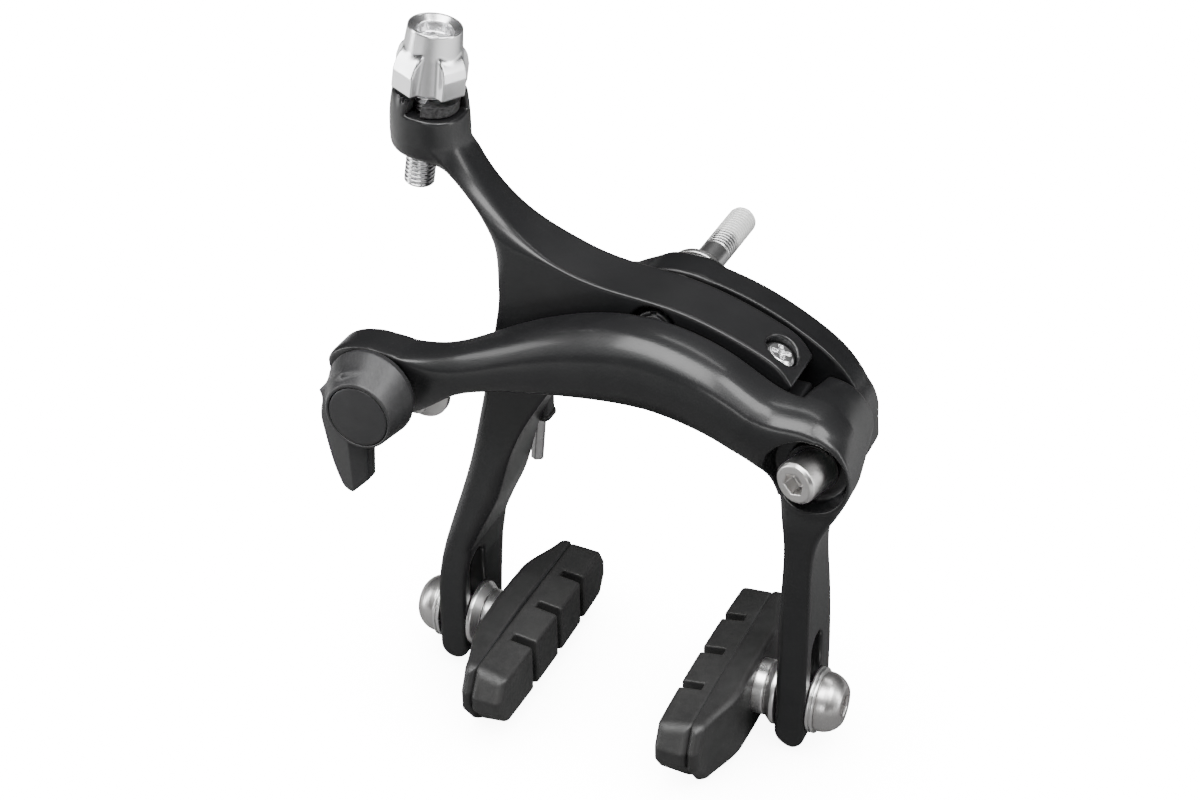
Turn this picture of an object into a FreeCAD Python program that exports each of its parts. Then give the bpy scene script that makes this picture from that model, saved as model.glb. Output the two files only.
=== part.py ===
import FreeCAD, Part
import math
import os
import Sketcher

# Dual-pivot rim brake caliper, millimetres.
# The origin is on the mounting bolt's axis at the rear seat of the caliper. +Y points rearward into
# the bicycle's frame, +Z points up and +X points to the side pivot. The pads hang below at -Z.

os.makedirs("parts", exist_ok=True)
doc = FreeCAD.newDocument("rim_brake_caliper")

DIMS = {
    # Mounting bolt and centre pivot.
    "bolt_radius": 3.0,
    "bolt_tip": 26.0,
    "bolt_thread_start": 9.0,
    "seat_washer_radius": 6.0,
    "seat_washer_thickness": 1.5,
    "bridge_rear": -1.5,
    "bridge_front": -9.5,
    "back_arm_rear": -10.5,
    "back_arm_front": -23.5,
    "front_arm_rear": -25.0,
    "front_arm_front": -37.0,
    "cable_end_rear": -28.5,
    "centre_nut_radius": 4.9,
    "journal_radius": 3.4,
    "bush_radius": 4.4,
    # Side pivot.
    "side_x": 34.4,
    "side_z": -18.6,
    "side_boss_radius": 8.8,
    "side_boss_front": -33.0,
    "side_cup_radius": 6.9,
    "side_cup_floor": -29.0,
    "side_bolt_radius": 2.5,
    "side_head_radius": 4.2,
    "side_head_front": -37.4,
    "side_bush_radius": 3.5,
    # Legs and their slots.
    "leg_foot": -85.5,
    "slot_top": -60.0,
    "slot_bottom": -81.0,
    "slot_half": 3.2,
    "slot_y": -25.5,
    "pad_z": -76.5,
    "left_leg_outer": -45.3,
    "left_leg_inner": -39.0,
    "right_leg_inner": 29.4,
    "right_leg_outer": 35.9,
    # Pads and their hardware.
    "pad_length": 54.0,
    "pad_gap": 5.3,
    "holder_depth": 6.0,
    "pad_depth": 13.0,
    "pad_screw_radius": 3.0,
    "pad_washer_radius": 6.4,
    # Cable adjuster, along its own leaning axis from the thread's lower end.
    "adjuster_x": -51.6,
    "adjuster_y": -17.0,
    "adjuster_z": 19.0,
    "adjuster_lean": 9.6,
    "head_low": 7.0,
    "head_high": 18.2,
    "collar_low": 13.6,
    "collar_high": 18.5,
    "knob_low": 18.8,
    "knob_high": 33.8,
    "head_radius": 6.2,
    "collar_radius": 5.2,
    # Quick release and cable anchor.
    "release_x": -52.8,
    "release_z": -18.4,
    "release_radius": 8.8,
    "release_rear": -37.5,
    "release_front": -45.6,
    "cap_radius": 6.2,
    "anchor_x": -47.6,
    "anchor_z": -22.4,
    "anchor_radius": 2.5,
    # Centring screw in the tail of the back arm.
    "centring_x": 24.0,
    "centring_y": -17.5,
    "centring_z": -2.2,
    "centring_tilt": 27.0,
}

sheet = doc.addObject("Spreadsheet::Sheet", "Dims")
for row, (alias, size) in enumerate(DIMS.items(), start=1):
    sheet.set(f"A{row}", alias)
    sheet.set(f"B{row}", str(size))
    sheet.setAlias(f"B{row}", alias)
doc.recompute()

pieces = []


# ---------------------------------------------------------------- tools for sketches and bodies


def value(size):
    """A plain number, or a sum such as 'bridge_rear - 2' of named sizes and numbers."""
    if not isinstance(size, str):
        return float(size)
    total = 0.0
    sign = 1
    for word in size.split():
        if word in ("+", "-"):
            sign = 1 if word == "+" else -1
        else:
            total += sign * (DIMS[word] if word in DIMS else float(word))
    return total


def formula(size):
    """The same sum, as an expression on the dimension sheet."""
    return " ".join(f"Dims.{word}" if word in DIMS else word for word in size.split())


def bind(thing, prop, size):
    """Drives one property of an object from the dimension sheet."""
    if isinstance(size, str):
        thing.setExpression(prop, formula(size))
    else:
        thing.setExpression(prop, str(size))


def new_body(label):
    body = doc.addObject("PartDesign::Body", label)
    body.Label = label
    pieces.append(body)
    return body


def new_sketch(body, name, role, offset=0.0):
    """A sketch on one of the body's origin planes, moved along that plane's normal."""
    sketch = body.newObject("Sketcher::SketchObject", name)
    plane = next(f for f in body.Origin.OriginFeatures if f.Role == role)
    sketch.AttachmentSupport = [(plane, "")]
    sketch.MapMode = "FlatFace"
    sketch.AttachmentOffset = FreeCAD.Placement(
        FreeCAD.Vector(0, 0, value(offset)), FreeCAD.Rotation()
    )
    if isinstance(offset, str):
        bind(sketch, "AttachmentOffset.Base.z", offset)
    return sketch


def polygon(sketch, corners):
    """A closed outline, each coordinate held by a constraint bound to the sheet."""
    first = sketch.GeometryCount
    count = len(corners)
    at = [FreeCAD.Vector(value(a), value(b), 0) for a, b in corners]
    for i in range(count):
        sketch.addGeometry(Part.LineSegment(at[i], at[(i + 1) % count]), False)
    for i in range(count):
        follows = first + (i + 1) % count
        sketch.addConstraint(Sketcher.Constraint("Coincident", first + i, 2, follows, 1))
    for i, corner in enumerate(corners):
        for kind, size in zip(("DistanceX", "DistanceY"), corner):
            held = Sketcher.Constraint(kind, first + i, 1, value(size))
            number = sketch.addConstraint(held)
            if isinstance(size, str):
                bind(sketch, f"Constraints[{number}]", size)


def circle(sketch, centre, radius):
    """A circle whose centre and radius are bound to the sheet."""
    at = FreeCAD.Vector(value(centre[0]), value(centre[1]), 0)
    item = sketch.addGeometry(Part.Circle(at, FreeCAD.Vector(0, 0, 1), value(radius)), False)
    for kind, size in zip(("DistanceX", "DistanceY"), centre):
        number = sketch.addConstraint(Sketcher.Constraint(kind, item, 3, value(size)))
        if isinstance(size, str):
            bind(sketch, f"Constraints[{number}]", size)
    number = sketch.addConstraint(Sketcher.Constraint("Radius", item, value(radius)))
    if isinstance(radius, str):
        bind(sketch, f"Constraints[{number}]", radius)


def hexagon(sketch, across_flats, centre=(0, 0)):
    far = across_flats / math.sqrt(3)
    corners = []
    for i in range(6):
        angle = math.radians(60 * i + 30)
        corners.append((centre[0] + far * math.cos(angle), centre[1] + far * math.sin(angle)))
    polygon(sketch, corners)


def smooth_outline(sketch, stretches):
    """A closed outline of smooth stretches, each through its own few points.

    A stretch begins where the one before it ends. One point makes it straight, and two points,
    the middle and the end, make it a circular arc.
    """
    ends = [stretch[-1] for stretch in stretches]
    for i, stretch in enumerate(stretches):
        points = [FreeCAD.Vector(a, b, 0) for a, b in [ends[i - 1], *stretch]]
        if len(points) == 2:
            sketch.addGeometry(Part.LineSegment(*points), False)
        elif len(points) == 3:
            sketch.addGeometry(Part.Arc(*points), False)
        else:
            curve = Part.BSplineCurve()
            curve.interpolate(points)
            sketch.addGeometry(curve, False)


def slot_outline(sketch, low, high, half):
    """A straight slot along the sketch's vertical, with round ends, centred on low and high."""
    (a, b0), b1 = low, high[1]
    axis = FreeCAD.Vector(0, 0, 1)
    top = Part.Circle(FreeCAD.Vector(a, b1, 0), axis, half)
    bottom = Part.Circle(FreeCAD.Vector(a, b0, 0), axis, half)
    sketch.addGeometry(Part.ArcOfCircle(top, 0, math.pi), False)
    sketch.addGeometry(Part.ArcOfCircle(bottom, math.pi, 2 * math.pi), False)
    for side in (-half, half):
        start = FreeCAD.Vector(a + side, b0, 0)
        end = FreeCAD.Vector(a + side, b1, 0)
        sketch.addGeometry(Part.LineSegment(start, end), False)


def pad(body, sketch, length, reverse=False):
    feature = body.newObject("PartDesign::Pad", sketch.Name + "_pad")
    feature.Profile = sketch
    feature.Length = value(length)
    bind(feature, "Length", length)
    feature.Reversed = reverse
    doc.recompute()
    return feature


def pocket(body, sketch, length, reverse=False, both=False):
    """Cuts a sketch out of the body and makes sure that something was cut."""
    before = body.Shape.Volume
    feature = body.newObject("PartDesign::Pocket", sketch.Name + "_pocket")
    feature.Profile = sketch
    feature.Length = value(length)
    bind(feature, "Length", length)
    feature.Reversed = reverse
    feature.Midplane = both
    doc.recompute()
    if body.Shape.Volume > before - 1e-3:
        raise RuntimeError(f"{sketch.Name} cut nothing")
    return feature


def turned(label, profile):
    """A piece turned about its own Z axis from (radius, height) corners."""
    body = new_body(label)
    sketch = new_sketch(body, label + "_profile", "XZ_Plane")
    polygon(sketch, profile)
    feature = body.newObject("PartDesign::Revolution", label + "_turned")
    feature.Profile = sketch
    feature.ReferenceAxis = (sketch, ["V_Axis"])
    feature.Angle = 360
    doc.recompute()
    return body


def place(body, at, axis=(0, 0, 1)):
    """Stands a turned piece at a point with its Z axis along the given direction."""
    body.Placement = FreeCAD.Placement(
        FreeCAD.Vector(*(value(c) for c in at)),
        FreeCAD.Rotation(FreeCAD.Vector(0, 0, 1), FreeCAD.Vector(*axis)),
    )
    for letter, size in zip("xyz", at):
        if isinstance(size, str):
            bind(body, f"Placement.Base.{letter}", size)


REARWARD = (0, 1, 0)
FORWARD = (0, -1, 0)


# ---------------------------------------------------------------- bridge, mounting bolt, pivots


def make_mount_bolt():
    """One stud: frame thread at the rear, centre pivot journal, nut thread at the front."""
    body = turned(
        "mount_bolt",
        [
            (0, "back_arm_front - 0.8"),
            ("bolt_radius - 0.5", "back_arm_front - 0.8"),
            ("bolt_radius", "back_arm_front - 0.3"),
            ("bolt_radius", "back_arm_front + 3"),
            ("journal_radius", "back_arm_front + 3"),
            ("journal_radius", 0),
            ("bolt_radius", 0),
            ("bolt_radius", "bolt_tip - 0.8"),
            ("bolt_radius - 0.8", "bolt_tip"),
            (0, "bolt_tip"),
        ],
    )
    place(body, (0, 0, 0), REARWARD)


def make_seat_washer():
    body = turned(
        "mount_washer",
        [
            ("journal_radius + 0.1", "bridge_rear"),
            ("seat_washer_radius", "bridge_rear"),
            ("seat_washer_radius", 0),
            ("journal_radius + 0.1", 0),
        ],
    )
    place(body, (0, 0, 0), REARWARD)


def make_bridge():
    """The fixed plate that carries both pivots, with a tail that holds the return spring."""
    body = new_body("bridge")
    sketch = new_sketch(body, "bridge_outline", "XZ_Plane", "0 - bridge_rear")
    smooth_outline(
        sketch,
        [
            [(-9, 3.6), (-3.5, 5.4), (2, 5.5), (10, 3.1), (22.6, -3.2), (30.4, -8.9), (36.4, -15.6)],
            [(39.6, -21.5), (38.2, -25.6), (34.4, -26.6), (29.8, -25)],
            [(24, -18.5), (17, -13.2), (9, -9.8), (1, -8), (-7, -7), (-13, -4.6)],
            [(-14.6, -1.6), (-12.6, 1.6)],
        ],
    )
    pad(body, sketch, "bridge_rear - bridge_front")
    holes = new_sketch(body, "bridge_bores", "XZ_Plane", "0 - bridge_rear")
    circle(holes, (0, 0), "journal_radius")
    circle(holes, ("side_x", "side_z"), "side_bolt_radius")
    circle(holes, (-10.5, -1.0), 0.95)
    pocket(body, holes, 10, reverse=True)


def make_centre_nut():
    """Thin lock nut sunk in the back arm's front face."""
    body = turned(
        "centre_pivot_nut",
        [
            ("bolt_radius", "back_arm_front + 3"),
            ("centre_nut_radius - 0.5", "back_arm_front + 3"),
            ("centre_nut_radius - 0.5", "back_arm_front - 0.2"),
            ("centre_nut_radius - 0.9", "back_arm_front - 0.6"),
            ("bolt_radius", "back_arm_front - 0.6"),
        ],
    )
    place(body, (0, 0, 0), REARWARD)


def make_washer(label, axis_x, axis_z, inner, outer, front, rear):
    body = turned(label, [(inner, front), (outer, front), (outer, rear), (inner, rear)])
    place(body, (axis_x, 0, axis_z), REARWARD)


def make_pivot_fittings():
    """Bushes in both arms and the thrust washers that keep them off the bridge."""
    make_washer(
        "centre_pivot_bush", 0, 0, "journal_radius + 0.04", "bush_radius",
        "back_arm_front + 3.1", "back_arm_rear",
    )
    make_washer(
        "centre_thrust_washer", 0, 0, "journal_radius + 0.1", 5.3,
        "back_arm_rear", "bridge_front",
    )
    make_washer(
        "side_pivot_bush", "side_x", "side_z", "side_bolt_radius + 0.04", "side_bush_radius",
        "side_cup_floor", "back_arm_rear",
    )
    make_washer(
        "side_thrust_washer", "side_x", "side_z", "side_bolt_radius + 0.1", 5.0,
        "back_arm_rear", "bridge_front",
    )
    make_washer(
        "side_head_washer", "side_x", "side_z", "side_bolt_radius + 0.1", 4.9,
        "side_cup_floor - 0.7", "side_cup_floor",
    )


def make_side_bolt():
    """Socket head bolt through the front arm into the bridge."""
    body = turned(
        "side_pivot_bolt",
        [
            (0, "side_head_front"),
            ("side_head_radius - 0.7", "side_head_front"),
            ("side_head_radius", "side_head_front + 0.6"),
            ("side_head_radius", "side_cup_floor - 0.7"),
            ("side_bolt_radius", "side_cup_floor - 0.7"),
            ("side_bolt_radius", "bridge_rear - 0.3"),
            (0, "bridge_rear - 0.3"),
        ],
    )
    socket = new_sketch(body, "side_pivot_bolt_socket", "XY_Plane", "side_head_front")
    hexagon(socket, 4)
    pocket(body, socket, 3.2, reverse=True)
    place(body, ("side_x", 0, "side_z"), REARWARD)


# ---------------------------------------------------------------- the two arms


def adjuster_axis():
    lean = math.radians(DIMS["adjuster_lean"])
    return FreeCAD.Vector(math.sin(lean), 0, math.cos(lean))


def along_adjuster(height):
    """The point this far up the adjuster's axis."""
    foot = FreeCAD.Vector(DIMS["adjuster_x"], DIMS["adjuster_y"], DIMS["adjuster_z"])
    return foot + adjuster_axis() * height


def leaning_cylinder(label, foot, axis, radius, length):
    """A helper cylinder for cuts and bosses off the main planes."""
    item = doc.addObject("Part::Cylinder", label)
    item.Radius = value(radius)
    bind(item, "Radius", radius)
    item.Height = value(length)
    bind(item, "Height", length)
    item.Placement = FreeCAD.Placement(foot, FreeCAD.Rotation(FreeCAD.Vector(0, 0, 1), axis))
    return item


def join(label, kind, base, tools):
    """A chain of booleans: kind is Part::Cut or Part::Fuse."""
    item = base
    for i, tool in enumerate(tools, start=1):
        step = doc.addObject(kind, f"{label}_{i}")
        step.Base = item
        step.Tool = tool
        item = step
    doc.recompute()
    return item


def centring_axis():
    tilt = math.radians(DIMS["centring_tilt"])
    return FreeCAD.Vector(math.sin(tilt), 0, math.cos(tilt))


def along_centring(height):
    """The point this far up the centring screw's axis from where it meets the arm's top."""
    top = FreeCAD.Vector(DIMS["centring_x"], DIMS["centring_y"], DIMS["centring_z"])
    return top + centring_axis() * height


def make_back_arm():
    """Y-shaped arm on the centre pivot: adjuster branch, tail with centring screw, left leg."""
    body = new_body("back_arm_core")
    pieces.remove(body)
    depth = "back_arm_rear - back_arm_front"
    upper = new_sketch(body, "back_arm_outline", "XZ_Plane", "0 - back_arm_rear")
    smooth_outline(
        upper,
        [
            [(-41.8, 33.5), (-40.9, 28.6), (-38.4, 23.8), (-34, 18.6), (-29, 14.4), (-23, 11)],
            [(-17, 8.6), (-11, 7.2), (-4, 6.4), (4, 5.4), (13, 3), (21, -0.2), (25.6, -3), (28, -6.2)],
            [(26, -9.9)],
            [(18, -8.8), (10, -7.6), (0, -8.4), (-8, -9.4), (-15, -12), (-20.5, -17)],
            [(-24.5, -23), (-28.6, -30.5), (-31.2, -38), (-33.4, -46.5), (-35.6, -52.6)],
            [(-43.6, -55.5)],
            [(-41.5, -46.5), (-39.6, -38), (-37.9, -29), (-36.1, -19), (-34, -9.5)],
            [(-32.6, -2.5), (-32.3, 3), (-33.6, 9.2), (-36.3, 14.8), (-40.6, 20), (-45.5, 24.4)],
            [(-50, 27)],
            [(-53.4, 32), (-52.4, 38)],
            [(-43.2, 38.6)],
        ],
    )
    pad(body, upper, depth)
    leg = new_sketch(body, "left_leg_outline", "XZ_Plane", 10)
    smooth_outline(
        leg,
        [
            [(-28.9, -31), (-32.2, -41.5), (-35.2, -51)],
            [(-39, -60.5)],
            [(-39, -82)],
            [(-42.15, -85.15), (-45.3, -82)],
            [(-45.3, -68)],
            [(-44.4, -60), (-42.9, -52), (-40.6, -43), (-38.4, -33)],
        ],
    )
    pad(body, leg, 24)
    side = new_sketch(body, "left_leg_side", "YZ_Plane")
    # Cuts the leg's front and rear edges to a forward lean, working on the part below the hub.
    smooth_outline(
        side,
        [
            [(-24, -18)],
            [(-25.2, -33), (-28.6, -50), (-31.2, -63), (-32, -72)],
            [(-32, -88)],
            [(-36, -88)],
            [(-36, -18)],
        ],
    )
    pocket(body, side, 120, both=True)
    rear = new_sketch(body, "left_leg_rear", "YZ_Plane")
    smooth_outline(
        rear,
        [
            [(-10.5, -20)],
            [(-11.6, -33), (-14.6, -50), (-17, -63), (-18, -72)],
            [(-18, -88)],
            [(-8, -88)],
            [(-8, -20)],
        ],
    )
    pocket(body, rear, 120, both=True)
    slot = new_sketch(body, "left_leg_slot", "YZ_Plane")
    half = DIMS["slot_half"]
    low = (DIMS["slot_y"], DIMS["slot_bottom"] + half)
    high = (DIMS["slot_y"], DIMS["slot_top"] - half)
    slot_outline(slot, low, high, half)
    pocket(body, slot, 120, both=True)
    bores = new_sketch(body, "centre_bores", "XZ_Plane", "0 - back_arm_rear")
    circle(bores, (0, 0), "bush_radius")
    pocket(body, bores, 30, reverse=True)
    seat = new_sketch(body, "centre_nut_seat", "XZ_Plane", "0 - back_arm_front")
    circle(seat, (0, 0), "centre_nut_radius")
    pocket(body, seat, 3)
    axis = adjuster_axis()
    boss = leaning_cylinder(
        "adjuster_boss", along_adjuster(DIMS["head_low"]), axis, "head_radius", "head_high - head_low",
    )
    solid = join("back_arm_boss", "Part::Fuse", body, [boss])
    above = leaning_cylinder("head_trim", along_adjuster(DIMS["head_high"]), axis, 14, 12)
    thread = leaning_cylinder("adjuster_hole", along_adjuster(-2), axis, 3.05, 30)
    seat = leaning_cylinder(
        "collar_seat", along_adjuster(DIMS["collar_low"]), axis, "collar_radius", 8,
    )
    screw = leaning_cylinder("centring_hole", along_centring(-14), centring_axis(), 2.0, 16)
    recess = leaning_cylinder("centring_recess", along_centring(-2.6), centring_axis(), 3.5, 8)
    solid = join("back_arm_cut", "Part::Cut", solid, [above, thread, seat, screw, recess])
    solid.Label = "back_arm"
    pieces.append(solid)


def make_front_arm():
    """C-shaped arm on the side pivot: cable end at the left, side boss, right leg."""
    body = new_body("front_arm_core")
    pieces.remove(body)
    depth = "front_arm_rear - front_arm_front"
    outline = new_sketch(body, "front_arm_outline", "XZ_Plane", "0 - front_arm_rear")
    smooth_outline(
        outline,
        [
            [(-47.5, -9), (-41, -8), (-34, -5.6), (-25.5, -2), (-16.5, 1.6), (-8, 3.8)],
            [(1, 4.4), (9.5, 3.2), (18, 0.4), (26, -4.2), (33, -9.8)],
            [(40, -12.5), (42.2, -19.5), (40.6, -26)],
            [(37.6, -33), (36, -40), (35.9, -50)],
            [(29.4, -50)],
            [(29.9, -40), (29.8, -31), (27.6, -22.6), (22, -17.2)],
            [(14, -14), (4, -11.9), (-8, -11.8), (-20, -13.2), (-30, -15.3)],
            [(-37, -18), (-41.4, -23.4), (-45.4, -27), (-50, -28.2), (-55.5, -27.2)],
            [(-60.8, -22.6), (-62, -17), (-59.4, -11.4), (-54, -9)],
        ],
    )
    pad(body, outline, depth)
    leg = new_sketch(body, "right_leg_outline", "XZ_Plane", 16)
    smooth_outline(
        leg,
        [
            [(29.9, -38)],
            [(29.4, -50)],
            [(29.4, -82)],
            [(32.65, -85.25), (35.9, -82)],
            [(35.9, -50)],
            [(36.2, -38)],
        ],
    )
    pad(body, leg, 22)
    boss = new_sketch(body, "side_boss", "XZ_Plane", "0 - back_arm_rear")
    circle(boss, ("side_x", "side_z"), "side_boss_radius - 1.8")
    pad(body, boss, "back_arm_rear - front_arm_rear + 1")
    shelf = new_sketch(body, "centring_shelf", "XZ_Plane", 12)
    smooth_outline(
        shelf,
        [
            [(16.5, -12.6), (17.6, -11.1)],
            [(26.4, -11.1)],
            [(30, -12.4)],
            [(30, -24)],
            [(26, -20)],
        ],
    )
    pad(body, shelf, 14)
    front = new_sketch(body, "leg_front_side", "YZ_Plane")
    smooth_outline(
        front,
        [
            [(-33.5, -24)],
            [(-32.6, -34), (-31.8, -46), (-31.6, -60)],
            [(-32, -88)],
            [(-40, -88)],
            [(-40, -24)],
        ],
    )
    pocket(body, front, 120, both=True)
    rear = new_sketch(body, "leg_rear_side", "YZ_Plane")
    smooth_outline(
        rear,
        [
            [(-22, -30)],
            [(-20.6, -40), (-18.6, -54), (-18, -64)],
            [(-18, -88)],
            [(-14, -88)],
            [(-14, -30)],
        ],
    )
    pocket(body, rear, 120, both=True)
    slot = new_sketch(body, "right_leg_slot", "YZ_Plane")
    half = DIMS["slot_half"]
    low = (DIMS["slot_y"], DIMS["slot_bottom"] + half)
    high = (DIMS["slot_y"], DIMS["slot_top"] - half)
    slot_outline(slot, low, high, half)
    pocket(body, slot, 120, both=True)
    thin = new_sketch(body, "cable_end_relief", "XY_Plane")
    smooth_outline(
        thin,
        [
            [(-40, DIMS["cable_end_rear"])],
            [(-34, -27.6), (-29, -25.6), (-26, -24)],
            [(-66, -24)],
            [(-66, DIMS["cable_end_rear"])],
        ],
    )
    pocket(body, thin, 120, both=True)
    bore = new_sketch(body, "side_bore", "XZ_Plane", "0 - back_arm_rear")
    circle(bore, ("side_x", "side_z"), "side_bush_radius")
    pocket(body, bore, 40, reverse=True)
    cup = new_sketch(body, "side_cup", "XZ_Plane", 40)
    circle(cup, ("side_x", "side_z"), "side_cup_radius")
    pocket(body, cup, "40 + side_cup_floor")
    trim = new_sketch(body, "boss_front_trim", "XZ_Plane", 40)
    circle(trim, ("side_x", "side_z - 2"), 12.5)
    pocket(body, trim, "40 + side_boss_front")
    release = new_sketch(body, "release_bore", "XZ_Plane", 40)
    circle(release, ("release_x", "release_z"), 3.05)
    pocket(body, release, 7.2)
    anchor = new_sketch(body, "anchor_slot", "XZ_Plane", 24)
    slot_outline(
        anchor,
        (DIMS["anchor_x"], DIMS["anchor_z"] - 0.3),
        (DIMS["anchor_x"], DIMS["anchor_z"] + 3.3),
        DIMS["anchor_radius"] + 0.3,
    )
    pocket(body, anchor, 8.3, reverse=True)
    body.Label = "front_arm"
    pieces.append(body)


# ---------------------------------------------------------------- cable adjuster


def place_on_adjuster(body):
    axis = adjuster_axis()
    place(body, ("adjuster_x", "adjuster_y", "adjuster_z"), (axis.x, axis.y, axis.z))


def make_adjuster():
    """Hollow screw, ribbed knob and the rough collar that the screw runs in."""
    screw = turned(
        "adjuster_bolt",
        [
            (1.4, 0),
            (2.6, 0),
            (3.0, 0.5),
            (3.0, "knob_low + 3"),
            (1.4, "knob_low + 3"),
        ],
    )
    place_on_adjuster(screw)
    collar = turned(
        "adjuster_collar",
        [
            (3.05, "collar_low"),
            ("collar_radius", "collar_low"),
            ("collar_radius", "collar_high"),
            (3.05, "collar_high"),
        ],
    )
    place_on_adjuster(collar)
    knob = turned(
        "adjuster_knob",
        [
            (3.0, "knob_low"),
            (6.2, "knob_low"),
            (6.6, "knob_low + 1"),
            (6.6, "knob_low + 4"),
            (6.1, "knob_low + 6"),
            (5.1, "knob_high - 0.6"),
            (4.6, "knob_high"),
            (3.6, "knob_high"),
            (2.6, "knob_high - 1"),
            (2.6, "knob_low + 9"),
            (1.4, "knob_low + 8"),
            (1.4, "knob_low + 3.1"),
            (3.0, "knob_low + 3.1"),
        ],
    )
    flute = new_sketch(knob, "knob_flute", "XY_Plane", "knob_low - 1")
    circle(flute, (9.4, 0), 3.6)
    cut = pocket(knob, flute, 7.5, reverse=True)
    pattern = knob.newObject("PartDesign::PolarPattern", "knob_flutes")
    pattern.Originals = [cut]
    pattern.Axis = (flute, ["N_Axis"])
    pattern.Angle = 360
    pattern.Occurrences = 4
    knob.Tip = pattern
    doc.recompute()
    place_on_adjuster(knob)


# ---------------------------------------------------------------- quick release and cable anchor


def make_release():
    """Round cam with a hanging lever, its pivot pin in one piece with it, and the round cap."""
    body = new_body("release_lever")
    disc = new_sketch(body, "release_disc", "XZ_Plane", "0 - release_rear")
    circle(disc, ("release_x", "release_z"), "release_radius")
    pad(body, disc, 4.5)
    nose = new_sketch(body, "release_nose", "XZ_Plane", "0 - release_rear")
    circle(nose, ("release_x", "release_z - 0.6"), "cap_radius + 0.9")
    pad(body, nose, "release_rear - release_front - 0.6")
    lever = new_sketch(body, "release_blade", "XZ_Plane", "0 - release_rear + 1")
    smooth_outline(
        lever,
        [
            [(-61.6, -18.4)],
            [(-61.5, -26), (-60.4, -33), (-57.6, -38.6)],
            [(-55, -39.2)],
            [(-52.6, -36.6)],
            [(-52.4, -28), (-50, -25), (-46.4, -22)],
        ],
    )
    pad(body, lever, 5.2)
    pin = new_sketch(body, "release_pin", "XZ_Plane", 33.1)
    circle(pin, ("release_x", "release_z"), 3.0)
    pad(body, pin, 8)
    seat = new_sketch(body, "cap_seat", "XZ_Plane", "0 - release_front - 0.6")
    circle(seat, ("release_x", "release_z - 0.6"), "cap_radius")
    pocket(body, seat, 1.2, reverse=False)
    cap = turned(
        "release_cap",
        [
            (0, "release_front"),
            ("cap_radius - 0.7", "release_front"),
            ("cap_radius - 0.2", "release_front + 0.5"),
            ("cap_radius - 0.2", "release_front + 1.8"),
            (0, "release_front + 1.8"),
        ],
    )
    place(cap, ("release_x", 0, "release_z - 0.6"), REARWARD)


def make_anchor():
    """Bolt and grooved plate that clamp the inner cable behind the front arm's end."""
    bolt = turned(
        "anchor_bolt",
        [
            (0, "cable_end_rear - 3.5"),
            ("anchor_radius", "cable_end_rear - 3.5"),
            ("anchor_radius", "cable_end_rear + 2.0"),
            (4.4, "cable_end_rear + 2.0"),
            (4.4, "cable_end_rear + 5.2"),
            (3.9, "cable_end_rear + 5.8"),
            (0, "cable_end_rear + 5.8"),
        ],
    )
    socket = new_sketch(bolt, "anchor_bolt_socket", "XY_Plane", "cable_end_rear + 5.8")
    hexagon(socket, 4)
    pocket(bolt, socket, 2.6)
    place(bolt, ("anchor_x", 0, "anchor_z"), REARWARD)
    plate = turned(
        "anchor_plate",
        [
            ("anchor_radius + 0.05", "cable_end_rear + 0.4"),
            (6.4, "cable_end_rear + 0.4"),
            (6.4, "cable_end_rear + 2.0"),
            ("anchor_radius + 0.05", "cable_end_rear + 2.0"),
        ],
    )
    place(plate, ("anchor_x", 0, "anchor_z"), REARWARD)


# ---------------------------------------------------------------- centring screw and spring


def make_centring_screw():
    body = turned(
        "centring_screw",
        [
            (0, -9.2),
            (1.2, -9.2),
            (1.95, -8.4),
            (1.95, -2.6),
            (3.2, -2.6),
            (3.2, -1.3),
            (2.2, -0.5),
            (0, -0.5),
        ],
    )
    cross = new_sketch(body, "centring_screw_cross", "XY_Plane", -0.5)
    arm = 1.9
    half = 0.35
    polygon(
        cross,
        [
            (-arm, -half), (-half, -half), (-half, -arm), (half, -arm),
            (half, -half), (arm, -half), (arm, half), (half, half),
            (half, arm), (-half, arm), (-half, half), (-arm, half),
        ],
    )
    pocket(body, cross, 1.0)
    axis = centring_axis()
    place(body, ("centring_x", "centring_y", "centring_z"), (axis.x, axis.y, axis.z))


def round_wire(label, points, radius):
    """A bent wire: straight runs joined by arcs, swept from a circle at its start."""
    path = [FreeCAD.Vector(*p) for p in points]
    bend = 3.0 * radius
    edges = []
    start = path[0]
    for i in range(1, len(path) - 1):
        into = (path[i] - path[i - 1]).normalize()
        out = (path[i + 1] - path[i]).normalize()
        turn = into.getAngle(out)
        cut = bend * math.tan(turn / 2)
        first = path[i] - into * cut
        last = path[i] + out * cut
        inward = (out - into).normalize()
        middle = path[i] + inward * (bend / math.cos(turn / 2) - bend)
        edges.append(Part.LineSegment(start, first).toShape())
        edges.append(Part.Arc(first, middle, last).toShape())
        start = last
    edges.append(Part.LineSegment(start, path[-1]).toShape())
    spine = Part.Wire(edges)
    ring = Part.Wire([Part.Circle(path[0], path[1] - path[0], radius).toShape()])
    item = doc.addObject("Part::Feature", label)
    item.Shape = spine.makePipeShell([ring], True, True)
    item.Label = label
    pieces.append(item)


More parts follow.
